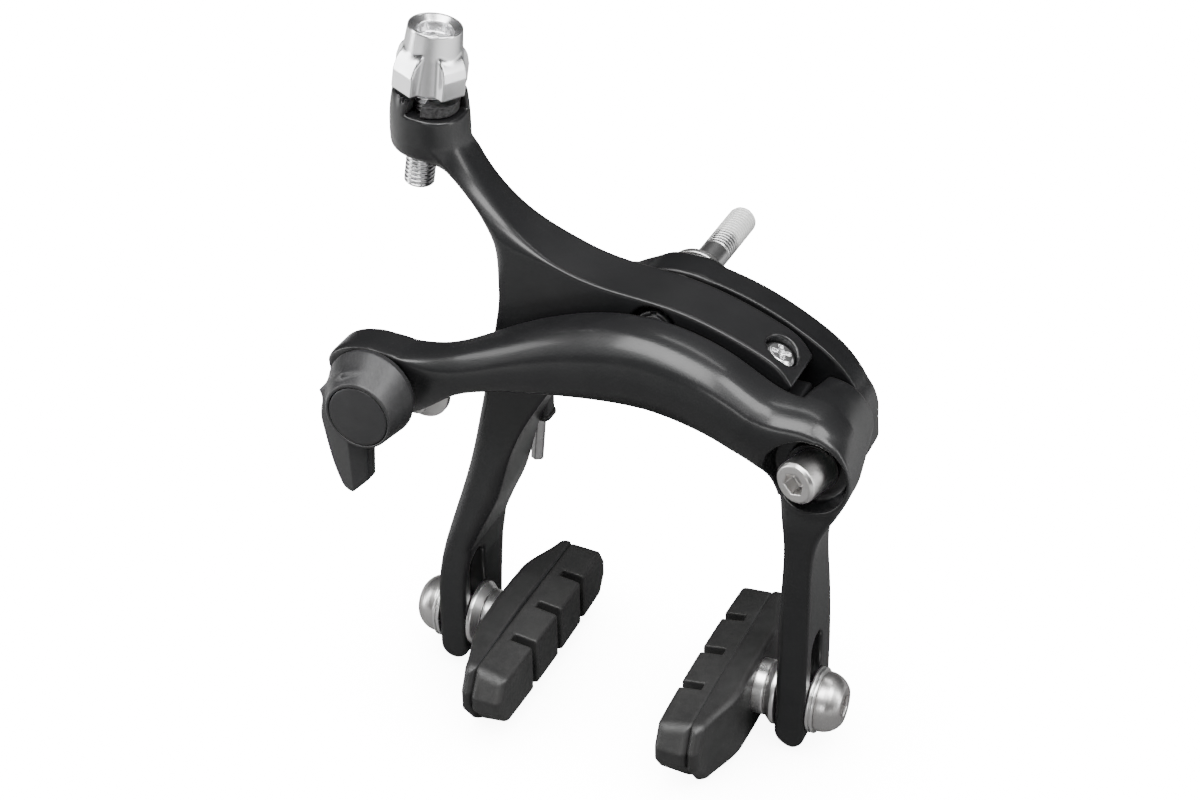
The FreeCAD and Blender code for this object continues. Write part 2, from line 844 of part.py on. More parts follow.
def make_spring():
    """Return spring between the bridge and the left leg, with the plastic shoe on its free end."""
    round_wire(
        "return_spring",
        [
            (-10.5, -2.5, -1.0), (-10.5, 1.8, -1.0), (-17.5, 1.8, -2.2),
            (-25.0, -2.0, -14.0), (-29.4, -8.6, -28.0), (-31.6, -8.6, -46.0),
        ],
        0.9,
    )
    block = doc.addObject("Part::Box", "spring_shoe_block")
    block.Length = 4.8
    block.Width = 4.2
    block.Height = 6.0
    block.Placement.Base = FreeCAD.Vector(-32.8, -11.0, -34.5)
    upper = FreeCAD.Vector(-29.4, -8.6, -28.0)
    lower = FreeCAD.Vector(-31.6, -8.6, -46.0)
    way = (lower - upper).normalize()
    hole = leaning_cylinder("spring_shoe_hole", upper - way * 3, way, 1.05, 14)
    shoe = join("spring_shoe_cut", "Part::Cut", block, [hole])
    shoe.Label = "spring_shoe"
    pieces.append(shoe)


# ---------------------------------------------------------------- pads and their hardware


def make_pad_set(side, inner, outer):
    """Rubber pad, backing, spherical washers and bolt on one leg.

    The stack is turned about an X axis through the slot: inward is the way the pad faces.
    """
    inward = 1 if side == "left" else -1
    at_y = DIMS["slot_y"]
    at_z = DIMS["pad_z"]

    def stand(body, x):
        body.Placement = FreeCAD.Placement(
            FreeCAD.Vector(x, at_y, at_z),
            FreeCAD.Rotation(FreeCAD.Vector(0, 0, 1), FreeCAD.Vector(inward, 0, 0)),
        )
        bind(body, "Placement.Base.y", "slot_y")
        bind(body, "Placement.Base.z", "pad_z")

    thickness = abs(outer - inner)
    washers = turned(
        side + "_outer_washer",
        [
            ("pad_screw_radius + 0.1", -1.6),
            ("pad_washer_radius", -1.6),
            ("pad_washer_radius", 0),
            ("pad_screw_radius + 0.1", 0),
        ],
    )
    stand(washers, outer)
    cup = turned(
        side + "_concave_washer",
        [
            ("pad_screw_radius + 0.4", 0),
            ("pad_washer_radius + 0.6", 0),
            ("pad_washer_radius + 0.6", 1.0),
            ("pad_washer_radius - 0.8", 2.6),
            ("pad_screw_radius + 0.4", 1.3),
        ],
    )
    stand(cup, inner)
    dome = turned(
        side + "_convex_washer",
        [
            ("pad_screw_radius + 0.05", 1.5),
            ("pad_screw_radius + 0.6", 1.5),
            ("pad_washer_radius - 0.7", 2.9),
            ("pad_washer_radius - 0.7", "pad_gap"),
            ("pad_screw_radius + 0.05", "pad_gap"),
        ],
    )
    stand(dome, inner)
    bolt = turned(
        side + "_pad_bolt",
        [
            (0, -7.4),
            (3.1, -7.4),
            (3.6, -6.9),
            (5.8, -2.4),
            (5.8, -1.6),
            ("pad_screw_radius", -1.6),
            ("pad_screw_radius", thickness + 9.6),
            (0, thickness + 9.6),
        ],
    )
    hex_face = new_sketch(bolt, side + "_pad_bolt_socket", "XY_Plane", -7.4)
    hexagon(hex_face, 4)
    pocket(bolt, hex_face, 3.4, reverse=True)
    stand(bolt, outer)

    stations = (inner + inward * DIMS["pad_gap"], at_y, at_z)
    turn = FreeCAD.Rotation(FreeCAD.Vector(0, 0, 1), 0 if inward == 1 else 180)
    for body in (make_pad_holder(side), make_pad_rubber(side)):
        body.Placement = FreeCAD.Placement(FreeCAD.Vector(*stations), turn)
        bind(body, "Placement.Base.y", "slot_y")
        bind(body, "Placement.Base.z", "pad_z")


def cut_pad_ends(body, name):
    """Slopes the four corners of a pad's long side outline."""
    for end in (-1, 1):
        sketch = new_sketch(body, f"{name}_end_{'front' if end < 0 else 'rear'}", "YZ_Plane")
        far = end * (DIMS["pad_length"] / 2)
        polygon(sketch, [(far, 1), (far - end * 7, 9), (far + end * 2, 9), (far + end * 2, 1)])
        polygon(
            sketch,
            [
                (far, -4), (far - end * 3, -8.4), (far - end * 9, -9.8), (far - end * 9, -12),
                (far + end * 2, -12), (far + end * 2, -4),
            ],
        )
        pocket(body, sketch, 60, both=True)


def make_pad_holder(side):
    """Backing of the pad: thin at its ends, with a hump around the bolt's thread."""
    holder = new_body(side + "_pad_holder")
    profile = new_sketch(holder, side + "_holder_profile", "XZ_Plane")
    depth = DIMS["holder_depth"]
    polygon(profile, [(0, -8.6), (depth, -9.4), (depth, 5.6), (0, 7.2)])
    pad(holder, profile, "pad_length").Midplane = True
    cut_pad_ends(holder, side + "_holder")
    for end in (-1, 1):
        plan = new_sketch(holder, f"{side}_holder_hump_{'front' if end < 0 else 'rear'}", "XY_Plane")
        smooth_outline(
            plan,
            [
                [(0, end * 8)],
                [(1.2, end * 13), (3, end * 18), (3.8, end * 22), (4, end * 28)],
                [(-1, end * 28)],
                [(-1, end * 8)],
            ],
        )
        pocket(holder, plan, 60, both=True)
    bore = new_sketch(holder, side + "_holder_bore", "YZ_Plane")
    circle(bore, (0, 0), "pad_screw_radius")
    pocket(holder, bore, 4.6, reverse=True)
    return holder


def make_pad_rubber(side):
    """Brake rubber with a sloping top and three cross grooves in its face."""
    rubber = new_body(side + "_brake_pad")
    profile = new_sketch(rubber, side + "_pad_profile", "XZ_Plane")
    depth = DIMS["holder_depth"]
    face = DIMS["pad_depth"]
    polygon(profile, [(depth, -8.6), (face, -6.8), (face, 2.2), (depth, 5.2)])
    pad(rubber, profile, "pad_length - 1").Midplane = True
    cut_pad_ends(rubber, side + "_pad")
    grooves = new_sketch(rubber, side + "_pad_grooves", "YZ_Plane", "pad_depth")
    way = 1 if side == "left" else -1
    for place_along in (-11.0, 1.0, 13.0):
        y = way * place_along
        polygon(grooves, [(y - 1, -14), (y + 1, -14), (y + 1, 12), (y - 1, 12)])
    pocket(rubber, grooves, 2.6)
    return rubber


make_mount_bolt()
make_seat_washer()
make_bridge()
make_centre_nut()
make_pivot_fittings()
make_side_bolt()
make_back_arm()
make_front_arm()
make_adjuster()
make_release()
make_anchor()
make_centring_screw()
make_spring()
make_pad_set("left", DIMS["left_leg_inner"], DIMS["left_leg_outer"])
make_pad_set("right", DIMS["right_leg_inner"], DIMS["right_leg_outer"])
doc.recompute()

for item in doc.Objects:
    if "Invalid" in item.State or "Error" in item.State:
        raise RuntimeError(f"{item.Label} did not compute: {item.State}")
for piece in pieces:
    if piece.Shape.isNull() or not piece.Shape.isValid():
        raise RuntimeError(f"{piece.Label} has no valid shape")
    piece.Shape.exportStep(f"parts/{piece.Label}.step")
    print(f"{piece.Label:24s} {piece.Shape.Volume:10.1f} mm3  solids {len(piece.Shape.Solids)}")
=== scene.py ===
import math

import bpy
import numpy as np
import openvdb
from mathutils import Matrix, Vector


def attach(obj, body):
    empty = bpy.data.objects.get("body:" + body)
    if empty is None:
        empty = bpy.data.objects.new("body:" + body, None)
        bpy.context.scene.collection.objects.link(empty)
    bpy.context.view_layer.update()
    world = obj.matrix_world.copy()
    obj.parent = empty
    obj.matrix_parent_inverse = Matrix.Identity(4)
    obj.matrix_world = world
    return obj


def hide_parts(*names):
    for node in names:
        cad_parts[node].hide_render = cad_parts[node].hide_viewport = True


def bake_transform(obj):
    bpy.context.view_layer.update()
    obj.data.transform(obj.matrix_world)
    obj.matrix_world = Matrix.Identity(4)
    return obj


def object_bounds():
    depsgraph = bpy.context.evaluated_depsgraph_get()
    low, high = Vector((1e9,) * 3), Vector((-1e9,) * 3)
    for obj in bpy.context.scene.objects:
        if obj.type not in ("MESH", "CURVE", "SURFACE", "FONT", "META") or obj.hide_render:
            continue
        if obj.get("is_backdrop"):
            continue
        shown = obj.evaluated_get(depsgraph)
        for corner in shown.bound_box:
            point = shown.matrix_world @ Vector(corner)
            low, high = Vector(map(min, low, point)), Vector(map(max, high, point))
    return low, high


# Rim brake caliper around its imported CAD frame. Shapes are written in millimetres in the frame's
# axes (X to the side pivot, Y rearward, Z up) and turned into metres when a mesh is made.
# Most pieces are solids given by a signed distance, negative inside, and meshed on a fine grid.

MM = 0.001
COARSE = 1.0

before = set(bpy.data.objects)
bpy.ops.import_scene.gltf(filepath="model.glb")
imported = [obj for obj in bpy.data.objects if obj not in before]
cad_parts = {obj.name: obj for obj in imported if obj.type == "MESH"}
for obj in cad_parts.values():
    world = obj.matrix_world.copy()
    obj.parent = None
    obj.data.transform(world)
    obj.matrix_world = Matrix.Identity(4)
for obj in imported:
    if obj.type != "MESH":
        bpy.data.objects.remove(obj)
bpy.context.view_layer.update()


# ---------------------------------------------------------------- points and curves


def spline(points, per_span=10):
    """A natural cubic spline through the points, by chord length."""
    p = np.array(points, float)
    if len(p) == 2:
        return p
    t = np.concatenate([[0], np.cumsum(np.linalg.norm(np.diff(p, axis=0), axis=1))])
    h = np.diff(t)
    n = len(p)
    a = np.eye(n)
    b = np.zeros_like(p)
    for i in range(1, n - 1):
        a[i, i - 1 : i + 2] = h[i - 1], 2 * (h[i - 1] + h[i]), h[i]
        b[i] = 6 * ((p[i + 1] - p[i]) / h[i] - (p[i] - p[i - 1]) / h[i - 1])
    m = np.linalg.solve(a, b)
    out = [p[0]]
    for i in range(n - 1):
        for s in np.linspace(0, h[i], per_span + 1)[1:]:
            r = h[i] - s
            out.append(
                (m[i] * r**3 + m[i + 1] * s**3) / (6 * h[i])
                + (p[i] / h[i] - m[i] * h[i] / 6) * r
                + (p[i + 1] / h[i] - m[i + 1] * h[i] / 6) * s
            )
    return np.array(out)


def arc(start, middle, end, count=12):
    """The circular arc through three points."""
    (ax, ay), (bx, by), (cx, cy) = start, middle, end
    d = 2 * (ax * (by - cy) + bx * (cy - ay) + cx * (ay - by))
    ux = ((ax**2 + ay**2) * (by - cy) + (bx**2 + by**2) * (cy - ay) + (cx**2 + cy**2) * (ay - by)) / d
    uy = ((ax**2 + ay**2) * (cx - bx) + (bx**2 + by**2) * (ax - cx) + (cx**2 + cy**2) * (bx - ax)) / d
    r = math.hypot(ax - ux, ay - uy)
    a0, a1, a2 = (math.atan2(q - uy, p - ux) for p, q in (start, middle, end))
    turn = (a2 - a0) % (2 * math.pi)
    if (a1 - a0) % (2 * math.pi) > turn:
        turn -= 2 * math.pi
    angles = a0 + np.linspace(0, turn, count + 1)
    return np.stack([ux + r * np.cos(angles), uy + r * np.sin(angles)], 1)


def outline(stretches):
    """A closed outline: each stretch starts where the one before ends, straight with one point,
    a circular arc with two and a smooth curve with more."""
    corners = []
    start = stretches[-1][-1]
    for stretch in stretches:
        if len(stretch) == 2:
            run = arc(start, *stretch)
        else:
            run = spline([start, *stretch])
        corners.extend(run[:-1])
        start = stretch[-1]
    return np.array(corners)


# ---------------------------------------------------------------- signed distances


def flat_distance(corners):
    """Signed distance to a closed outline in a plane."""
    corners = np.array(corners, float)

    def distance(p, q):
        p, q = np.broadcast_arrays(p, q)
        best = np.full(p.shape, 1e9)
        inside = np.zeros(p.shape, bool)
        for (ax, ay), (bx, by) in zip(corners, np.roll(corners, -1, 0)):
            ex, ey = bx - ax, by - ay
            dx, dy = p - ax, q - ay
            h = np.clip((dx * ex + dy * ey) / max(ex * ex + ey * ey, 1e-12), 0, 1)
            best = np.minimum(best, (dx - ex * h) ** 2 + (dy - ey * h) ** 2)
            if ay != by:
                inside ^= ((ay > q) != (by > q)) & (dx < ex * dy / ey)
        root = np.sqrt(best)
        return np.where(inside, -root, root)

    return distance


def line_distance(points):
    """Signed distance to an open line, positive on its left, and the place along it."""
    points = np.array(points, float)

    def distance(p, q):
        p, q = np.broadcast_arrays(p, q)
        best = np.full(p.shape, 1e9)
        side = np.ones(p.shape)
        place = np.zeros(p.shape)
        for i in range(len(points) - 1):
            (ax, ay), (bx, by) = points[i], points[i + 1]
            ex, ey = bx - ax, by - ay
            dx, dy = p - ax, q - ay
            h = np.clip((dx * ex + dy * ey) / (ex * ex + ey * ey), 0, 1)
            d = (dx - ex * h) ** 2 + (dy - ey * h) ** 2
            near = d < best
            best = np.where(near, d, best)
            side = np.where(near, np.sign(ex * dy - ey * dx), side)
            place = np.where(near, i + h, place)
        return np.sqrt(best) * side, place / (len(points) - 1)

    return distance


def both(f, g, r=0.0):
    """What two solids share, its edge rounded to radius r."""
    r = np.maximum(r, 1e-4)
    a, b = f + r, g + r
    return np.minimum(np.maximum(a, b), 0) + np.hypot(np.maximum(a, 0), np.maximum(b, 0)) - r


def without(f, g, r=0.0):
    return both(f, -g, r)


def either(f, g, k=0.0):
    """Two solids together, with a fillet of about k."""
    k = np.maximum(k, 1e-4)
    h = np.maximum(k - np.abs(f - g), 0) / k
    return np.minimum(f, g) - h * h * k / 4


def slab(v, low, high):
    return np.maximum(low - v, v - high)


def ramp(v, start, end):
    """0 before start, 1 after end and smooth between."""
    s = np.clip((v - start) / (end - start), 0, 1)
    return s * s * (3 - 2 * s)


def hexagon_distance(p, q, across):
    """Distance to a hexagonal prism's sides."""
    best = -1e9
    for k in range(3):
        a = math.radians(60 * k)
        best = np.maximum(best, np.abs(p * math.cos(a) + q * math.sin(a)) - across / 2)
    return best


# ---------------------------------------------------------------- meshes


def mesh_from(name, points, faces):
    mesh = bpy.data.meshes.new(name)
    points = np.ascontiguousarray(points, np.float32)
    faces = np.ascontiguousarray(faces, np.int32)
    mesh.vertices.add(len(points))
    mesh.vertices.foreach_set("co", points.ravel())
    mesh.loops.add(faces.size)
    mesh.loops.foreach_set("vertex_index", faces.ravel())
    mesh.polygons.add(len(faces))
    mesh.polygons.foreach_set("loop_start", np.arange(0, faces.size, faces.shape[1], dtype=np.int32))
    mesh.update(calc_edges=True)
    mesh.validate()
    mesh.shade_smooth()
    return mesh


def solid(name, field, low, high, pitch):
    """Meshes field(x, y, z) <= 0 inside the box low to high, and moves its points onto the surface."""
    pitch = pitch * COARSE
    axes = [np.arange(a - 2 * pitch, b + 3 * pitch, pitch) for a, b in zip(low, high)]
    x, y, z = np.meshgrid(*axes, indexing="ij", sparse=True)
    values = np.broadcast_to(field(x, y, z), [len(a) for a in axes])
    grid = openvdb.FloatGrid(9.0)
    grid.copyFromArray(np.ascontiguousarray(np.clip(values, -3, 3), np.float32))
    points, _, quads = grid.convertToPolygons(isovalue=0.0, adaptivity=0.0)
    at = points.astype(float) * pitch + np.array([a[0] for a in axes])
    step = 0.02
    for _ in range(2):
        here = field(*at.T)
        slope = np.stack([(field(*(at + step * e).T) - here) / step for e in np.eye(3)], 1)
        size = np.maximum((slope**2).sum(1), 0.05)
        move = slope * (here / size)[:, None]
        length = np.linalg.norm(move, axis=1)[:, None]
        at -= move * np.minimum(1, 0.5 * pitch / np.maximum(length, 1e-9))
    mesh = mesh_from(name, at * MM, quads[:, ::-1])
    obj = bpy.data.objects.new(name, mesh)
    bpy.context.scene.collection.objects.link(obj)
    return obj


def along(origin, axis, turn=0.0):
    """The matrix that stands a piece's own Z axis at a point along a direction, in metres."""
    z = Vector(axis).normalized()
    spin = Matrix.Rotation(math.radians(turn), 4, "Z")
    return Matrix.Translation(Vector(origin) * MM) @ z.to_track_quat("Z", "Y").to_matrix().to_4x4() @ spin


def tube(name, points, radius_of, around=24, to_frame=None):
    """A closed round bar along points; radius_of(i, angles) gives each ring's radii."""
    points = np.array(points, float)
    count = len(points)
    tangent = np.gradient(points, axis=0)
    tangent /= np.linalg.norm(tangent, axis=1)[:, None]
    normal = np.cross(tangent[0], [0.3, 0.2, 0.9])
    angles = np.linspace(0, 2 * math.pi, around, endpoint=False)
    rings = []
    for i in range(count):
        normal = normal - tangent[i] * (normal @ tangent[i])
        normal /= np.linalg.norm(normal)
        side = np.cross(tangent[i], normal)
        r = radius_of(i, angles)[:, None]
        rings.append(points[i] + r * (np.cos(angles)[:, None] * normal + np.sin(angles)[:, None] * side))
    verts = np.concatenate([*rings, points[:1], points[-1:]])
    faces = []
    for i in range(count - 1):
        for j in range(around):
            k = (j + 1) % around
            faces.append((i * around + j, i * around + k, (i + 1) * around + k, (i + 1) * around + j))
    caps = []
    first, last = len(verts) - 2, len(verts) - 1
    for j in range(around):
        k = (j + 1) % around
        caps.append((first, k, j))
        caps.append((last, (count - 1) * around + j, (count - 1) * around + k))
    mesh = bpy.data.meshes.new(name)
    mesh.from_pydata((verts * MM).tolist(), [], faces + caps)
    mesh.validate()
    mesh.shade_smooth()
    if to_frame is not None:
        mesh.transform(to_frame)
    obj = bpy.data.objects.new(name, mesh)
    bpy.context.scene.collection.objects.link(obj)
    return obj


def threaded_bar(name, low, high, radius, pitch, to_frame, thread=None, blunt=0.7):
    """A bar with a helical thread between thread's two heights."""
    low_thread, high_thread = thread or (low, high)
    step = pitch / 8
    heights = np.arange(low, high + step / 2, step)
    points = np.stack([0 * heights, 0 * heights, heights], 1)
    depth = 0.48 * pitch

    def radii(i, angles):
        h = heights[i]
        phase = (h / pitch - angles / (2 * math.pi)) % 1
        cut = depth * np.clip(1.25 - np.abs(phase - 0.5) * 5.0, 0, 1)
        fade = min(1, max(0, (h - low_thread) / pitch)) * min(1, max(0, (high_thread - h) / pitch + 1))
        end = min(h - low, high - h)
        inset = blunt * (1 - math.sqrt(max(0, 1 - (1 - min(1, end / blunt)) ** 2))) if end < blunt else 0
        return radius - cut * fade - inset

    return tube(name, points, radii, 48, to_frame)


# ---------------------------------------------------------------- materials


def shader(name, base, metallic=0.0, roughness=0.4, **sockets):
    """A new material with a Principled shader; constants are set on its own sockets."""
    m = bpy.data.materials.new(name)
    m.use_nodes = True
    nodes = m.node_tree.nodes
    nodes.clear()
    out = nodes.new("ShaderNodeOutputMaterial")
    b = nodes.new("ShaderNodeBsdfPrincipled")
    m.node_tree.links.new(b.outputs[0], out.inputs[0])
    b.inputs["Base Color"].default_value = (*base, 1)
    b.inputs["Metallic"].default_value = metallic
    b.inputs["Roughness"].default_value = roughness
    for key, v in sockets.items():
        b.inputs[key.replace("_", " ")].default_value = v
    return m, b


def add(m, kind, **settings):
    node = m.node_tree.nodes.new(kind)
    for key, v in settings.items():
        if key in node.inputs:
            node.inputs[key].default_value = v
        else:
            setattr(node, key, v)
    return node


def noise(m, scale, detail=3.0, rough=0.5):
    """Noise on the object's own coordinates, scale in features per metre."""
    where = add(m, "ShaderNodeTexCoord")
    n = add(m, "ShaderNodeTexNoise", Scale=scale, Detail=detail, Roughness=rough)
    m.node_tree.links.new(where.outputs["Object"], n.inputs["Vector"])
    return n


def spread(m, source, low, high):
    """Maps a noise's middle values, 0.3 to 0.7, to low..high."""
    r = add(m, "ShaderNodeMapRange")
    r.inputs["From Min"].default_value = 0.3
    r.inputs["From Max"].default_value = 0.7
    r.inputs["To Min"].default_value = low
    r.inputs["To Max"].default_value = high
    m.node_tree.links.new(source.outputs["Fac"], r.inputs["Value"])
    return r


def bump(m, b, source, distance, strength=1.0):
    """Surface relief of a depth in metres from a source."""
    n = add(m, "ShaderNodeBump")
    n.inputs["Distance"].default_value = distance
    n.inputs["Strength"].default_value = strength
    m.node_tree.links.new(source.outputs["Fac"], n.inputs["Height"])
    m.node_tree.links.new(n.outputs[0], b.inputs["Normal"])


def tint(m, b, source, dark, light, low=0.3, high=0.7):
    """Base colour between two tones by a source."""
    r = add(m, "ShaderNodeValToRGB")
    r.color_ramp.elements[0].position = low
    r.color_ramp.elements[0].color = (*dark, 1)
    r.color_ramp.elements[1].position = high
    r.color_ramp.elements[1].color = (*light, 1)
    m.node_tree.links.new(source.outputs["Fac"], r.inputs[0])
    m.node_tree.links.new(r.outputs[0], b.inputs["Base Color"])


def satin_black():
    m, b = shader(
        "satin_black", (0.008, 0.008, 0.0085), 0.0, 0.38,
        Specular_IOR_Level=0.34, Coat_Weight=0.3, Coat_Roughness=0.16,
    )
    m.node_tree.links.new(spread(m, noise(m, 90, 4), 0.36, 0.41).outputs[0], b.inputs["Roughness"])
    bump(m, b, noise(m, 5200, 2), 0.000004, 0.5)
    tint(m, b, noise(m, 160, 4), (0.0070, 0.0070, 0.0076), (0.0095, 0.0095, 0.0100))
    return m


def bridge_black():
    m, b = shader(
        "bridge_black", (0.006, 0.006, 0.0065), 0.0, 0.36,
        Specular_IOR_Level=0.3, Coat_Weight=0.2, Coat_Roughness=0.2,
    )
    bump(m, b, noise(m, 3800, 3), 0.000006, 0.6)
    tint(m, b, noise(m, 200, 4), (0.0055, 0.0055, 0.0060), (0.0075, 0.0075, 0.0080))
    return m


def lever_grey():
    m, b = shader("lever_grey", (0.030, 0.030, 0.031), 0.25, 0.40)
    bump(m, b, noise(m, 4200, 3, 0.7), 0.00003, 0.7)
    tint(m, b, noise(m, 900, 5), (0.027, 0.027, 0.028), (0.033, 0.033, 0.034))
    return m


def cap_black():
    m, b = shader("cap_black", (0.014, 0.014, 0.015), 0.0, 0.42)
    bump(m, b, noise(m, 6000, 2), 0.000006, 0.4)
    tint(m, b, noise(m, 300, 3), (0.012, 0.012, 0.013), (0.016, 0.016, 0.017))
    return m


def collar_rough():
    m, b = shader("collar_rough", (0.03, 0.03, 0.03), 0.3, 0.36)
    bump(m, b, noise(m, 2600, 4, 0.7), 0.00014, 1.0)
    tint(m, b, noise(m, 1500, 4), (0.018, 0.018, 0.018), (0.075, 0.075, 0.076))
    return m


def bright_alloy(name="bright_alloy", base=(0.88, 0.88, 0.89), rough=(0.20, 0.27)):
    m, b = shader(name, base, 1.0, 0.24)
    m.node_tree.links.new(spread(m, noise(m, 260, 3), *rough).outputs[0], b.inputs["Roughness"])
    bump(m, b, noise(m, 900, 3), 0.000006, 0.5)
    return m


def steel(name, base=(0.66, 0.65, 0.64), rough=(0.20, 0.27)):
    """Bright turned steel, its gloss and colour a little uneven."""
    m, b = shader(name, base, 1.0, 0.25)
    m.node_tree.links.new(spread(m, noise(m, 300, 3), *rough).outputs[0], b.inputs["Roughness"])
    tint(m, b, noise(m, 250, 3), tuple(0.92 * c for c in base), base)
    return m


def rubber():
    m, b = shader("pad_rubber", (0.016, 0.016, 0.016), 0.0, 0.5)
    dust = noise(m, 260, 6, 0.65)
    tint(m, b, dust, (0.016, 0.016, 0.016), (0.026, 0.026, 0.0255))
    m.node_tree.links.new(spread(m, noise(m, 900, 4), 0.42, 0.58).outputs[0], b.inputs["Roughness"])
    bump(m, b, noise(m, 1800, 5, 0.65), 0.00004, 0.6)
    return m


def holder_plastic():
    m, b = shader("holder_rubber", (0.014, 0.014, 0.014), 0.0, 0.45)
    tint(m, b, noise(m, 300, 6, 0.6), (0.014, 0.014, 0.014), (0.022, 0.022, 0.022))
    bump(m, b, noise(m, 2400, 5, 0.6), 0.00003, 0.5)
    return m


def thread_patch():
    """Zinc thread with a dry white locking patch towards the tip."""
    m, b = shader("stud_steel", (0.6, 0.6, 0.6), 1.0, 0.32)
    where = add(m, "ShaderNodeTexCoord")
    parts = add(m, "ShaderNodeSeparateXYZ")
    m.node_tree.links.new(where.outputs["Object"], parts.inputs[0])
    far = add(m, "ShaderNodeMapRange")
    far.inputs["From Min"].default_value = 0.0150
    far.inputs["From Max"].default_value = 0.0165
    ragged = noise(m, 900, 4)
    mix = add(m, "ShaderNodeMath", operation="MULTIPLY_ADD")
    mix.inputs[1].default_value = 0.0018
    m.node_tree.links.new(ragged.outputs["Fac"], mix.inputs[0])
    m.node_tree.links.new(parts.outputs["Y"], mix.inputs[2])
    m.node_tree.links.new(mix.outputs[0], far.inputs["Value"])
    colour = add(m, "ShaderNodeMix", data_type="RGBA")
    colour.inputs["A"].default_value = (0.50, 0.50, 0.50, 1)
    colour.inputs["B"].default_value = (0.62, 0.62, 0.61, 1)
    m.node_tree.links.new(far.outputs[0], colour.inputs["Factor"])
    m.node_tree.links.new(colour.outputs["Result"], b.inputs["Base Color"])
    metal = add(m, "ShaderNodeMath", operation="MULTIPLY_ADD")
    metal.inputs[1].default_value = -0.85
    metal.inputs[2].default_value = 1.0
    m.node_tree.links.new(far.outputs[0], metal.inputs[0])
    m.node_tree.links.new(metal.outputs[0], b.inputs["Metallic"])
    bump(m, b, noise(m, 1500, 4), 0.00003, 0.6)
    return m


SATIN = satin_black()
BRIDGE = bridge_black()
LEVER = lever_grey()
CAP = cap_black()
COLLAR = collar_rough()
ALLOY = bright_alloy()
STEEL = steel("turned_steel", (0.66, 0.65, 0.64), (0.28, 0.36))
WASHER = steel("washer_steel", (0.84, 0.84, 0.83), (0.26, 0.34))
SPRING = steel("spring_wire", (0.62, 0.62, 0.62), (0.24, 0.34))
STUD = thread_patch()
RUBBER = rubber()
HOLDER = holder_plastic()


def put(obj, material, body, *nodes):
    """Gives a new piece its material, body and the CAD nodes that it stands for."""
    obj.data.materials.clear()
    obj.data.materials.append(material)
    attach(obj, body)
    if nodes:
        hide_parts(*nodes)


# ---------------------------------------------------------------- the back arm

LEAN = math.radians(9.6)
ADJUSTER_FOOT = np.array([-51.6, -17.0, 19.0])
ADJUSTER_AXIS = np.array([math.sin(LEAN), 0.0, math.cos(LEAN)])
TILT = math.radians(27)
CENTRING_TOP = np.array([24.0, -17.5, -2.2])
CENTRING_AXIS = np.array([math.sin(TILT), 0.0, math.cos(TILT)])
SLOT_Y, SLOT_LOW, SLOT_HIGH, SLOT_HALF = -25.5, -77.8, -63.2, 3.2
SIDE_X, SIDE_Z = 34.4, -18.6


def about(axis_point, axis):
    """A function giving the radius about an axis and the height along it."""
    axis = np.array(axis, float)

    def place(x, y, z):
        dx, dy, dz = x - axis_point[0], y - axis_point[1], z - axis_point[2]
        h = dx * axis[0] + dy * axis[1] + dz * axis[2]
        square = dx * dx + dy * dy + dz * dz - h * h
        return np.sqrt(np.maximum(square, 0)), h

    return place


around_adjuster = about(ADJUSTER_FOOT, ADJUSTER_AXIS)
around_centring = about(CENTRING_TOP, CENTRING_AXIS)


def slot_distance(y, z):
    """Distance to the pad slot's wall, seen along X."""
    dz = z - np.clip(z, SLOT_LOW, SLOT_HIGH)
    return np.hypot(y - SLOT_Y, dz) - SLOT_HALF


def between(curve):
    """A smooth line y(z) through its few (y, z) points, top to bottom."""
    points = spline(curve)[::-1]
    return lambda z: np.interp(z, points[:, 1], points[:, 0])


back_upper = flat_distance(outline([
    [(-41.8, 33.5), (-40.9, 28.6), (-38.4, 23.8), (-34, 18.6), (-29, 14.4), (-23, 11),
     (-17, 8.6), (-11, 7.2), (-4, 6.4), (4, 5.4), (13, 3), (21, -0.2), (25.6, -3), (28, -6.2)],
    [(26, -9.9)],
    [(18, -8.8), (10, -7.6), (0, -8.4), (-8, -9.4), (-15, -12), (-20.5, -17),
     (-24.5, -23), (-28.6, -30.5), (-31.2, -38), (-33.6, -46.5), (-36.4, -53), (-38.4, -58)],
    [(-39, -64)],
    [(-39, -82)],
    [(-42.15, -85.15), (-45.3, -82)],
    [(-45.3, -68)],
    [(-44.7, -60), (-43.1, -52), (-41.0, -44), (-39.2, -36), (-37.8, -28), (-36.1, -19), (-34, -9.5),
     (-32.6, -2.5), (-32.3, 3), (-33.6, 9.2), (-36.3, 14.8), (-40.6, 20), (-45.5, 24.4), (-50, 27.4)],
    [(-55.2, 33), (-54, 40)],
    [(-43.2, 40)],
]))
back_leg_front = between([
    (-23.5, 50), (-23.5, 0), (-23.8, -18), (-25.2, -33), (-28.4, -50), (-31, -63), (-32, -73), (-32, -90),
])
back_leg_rear = between([
    (-10.5, 50), (-10.5, 0), (-10.5, -30), (-10.6, -48), (-11.4, -60), (-13.2, -72), (-14.4, -90),
])


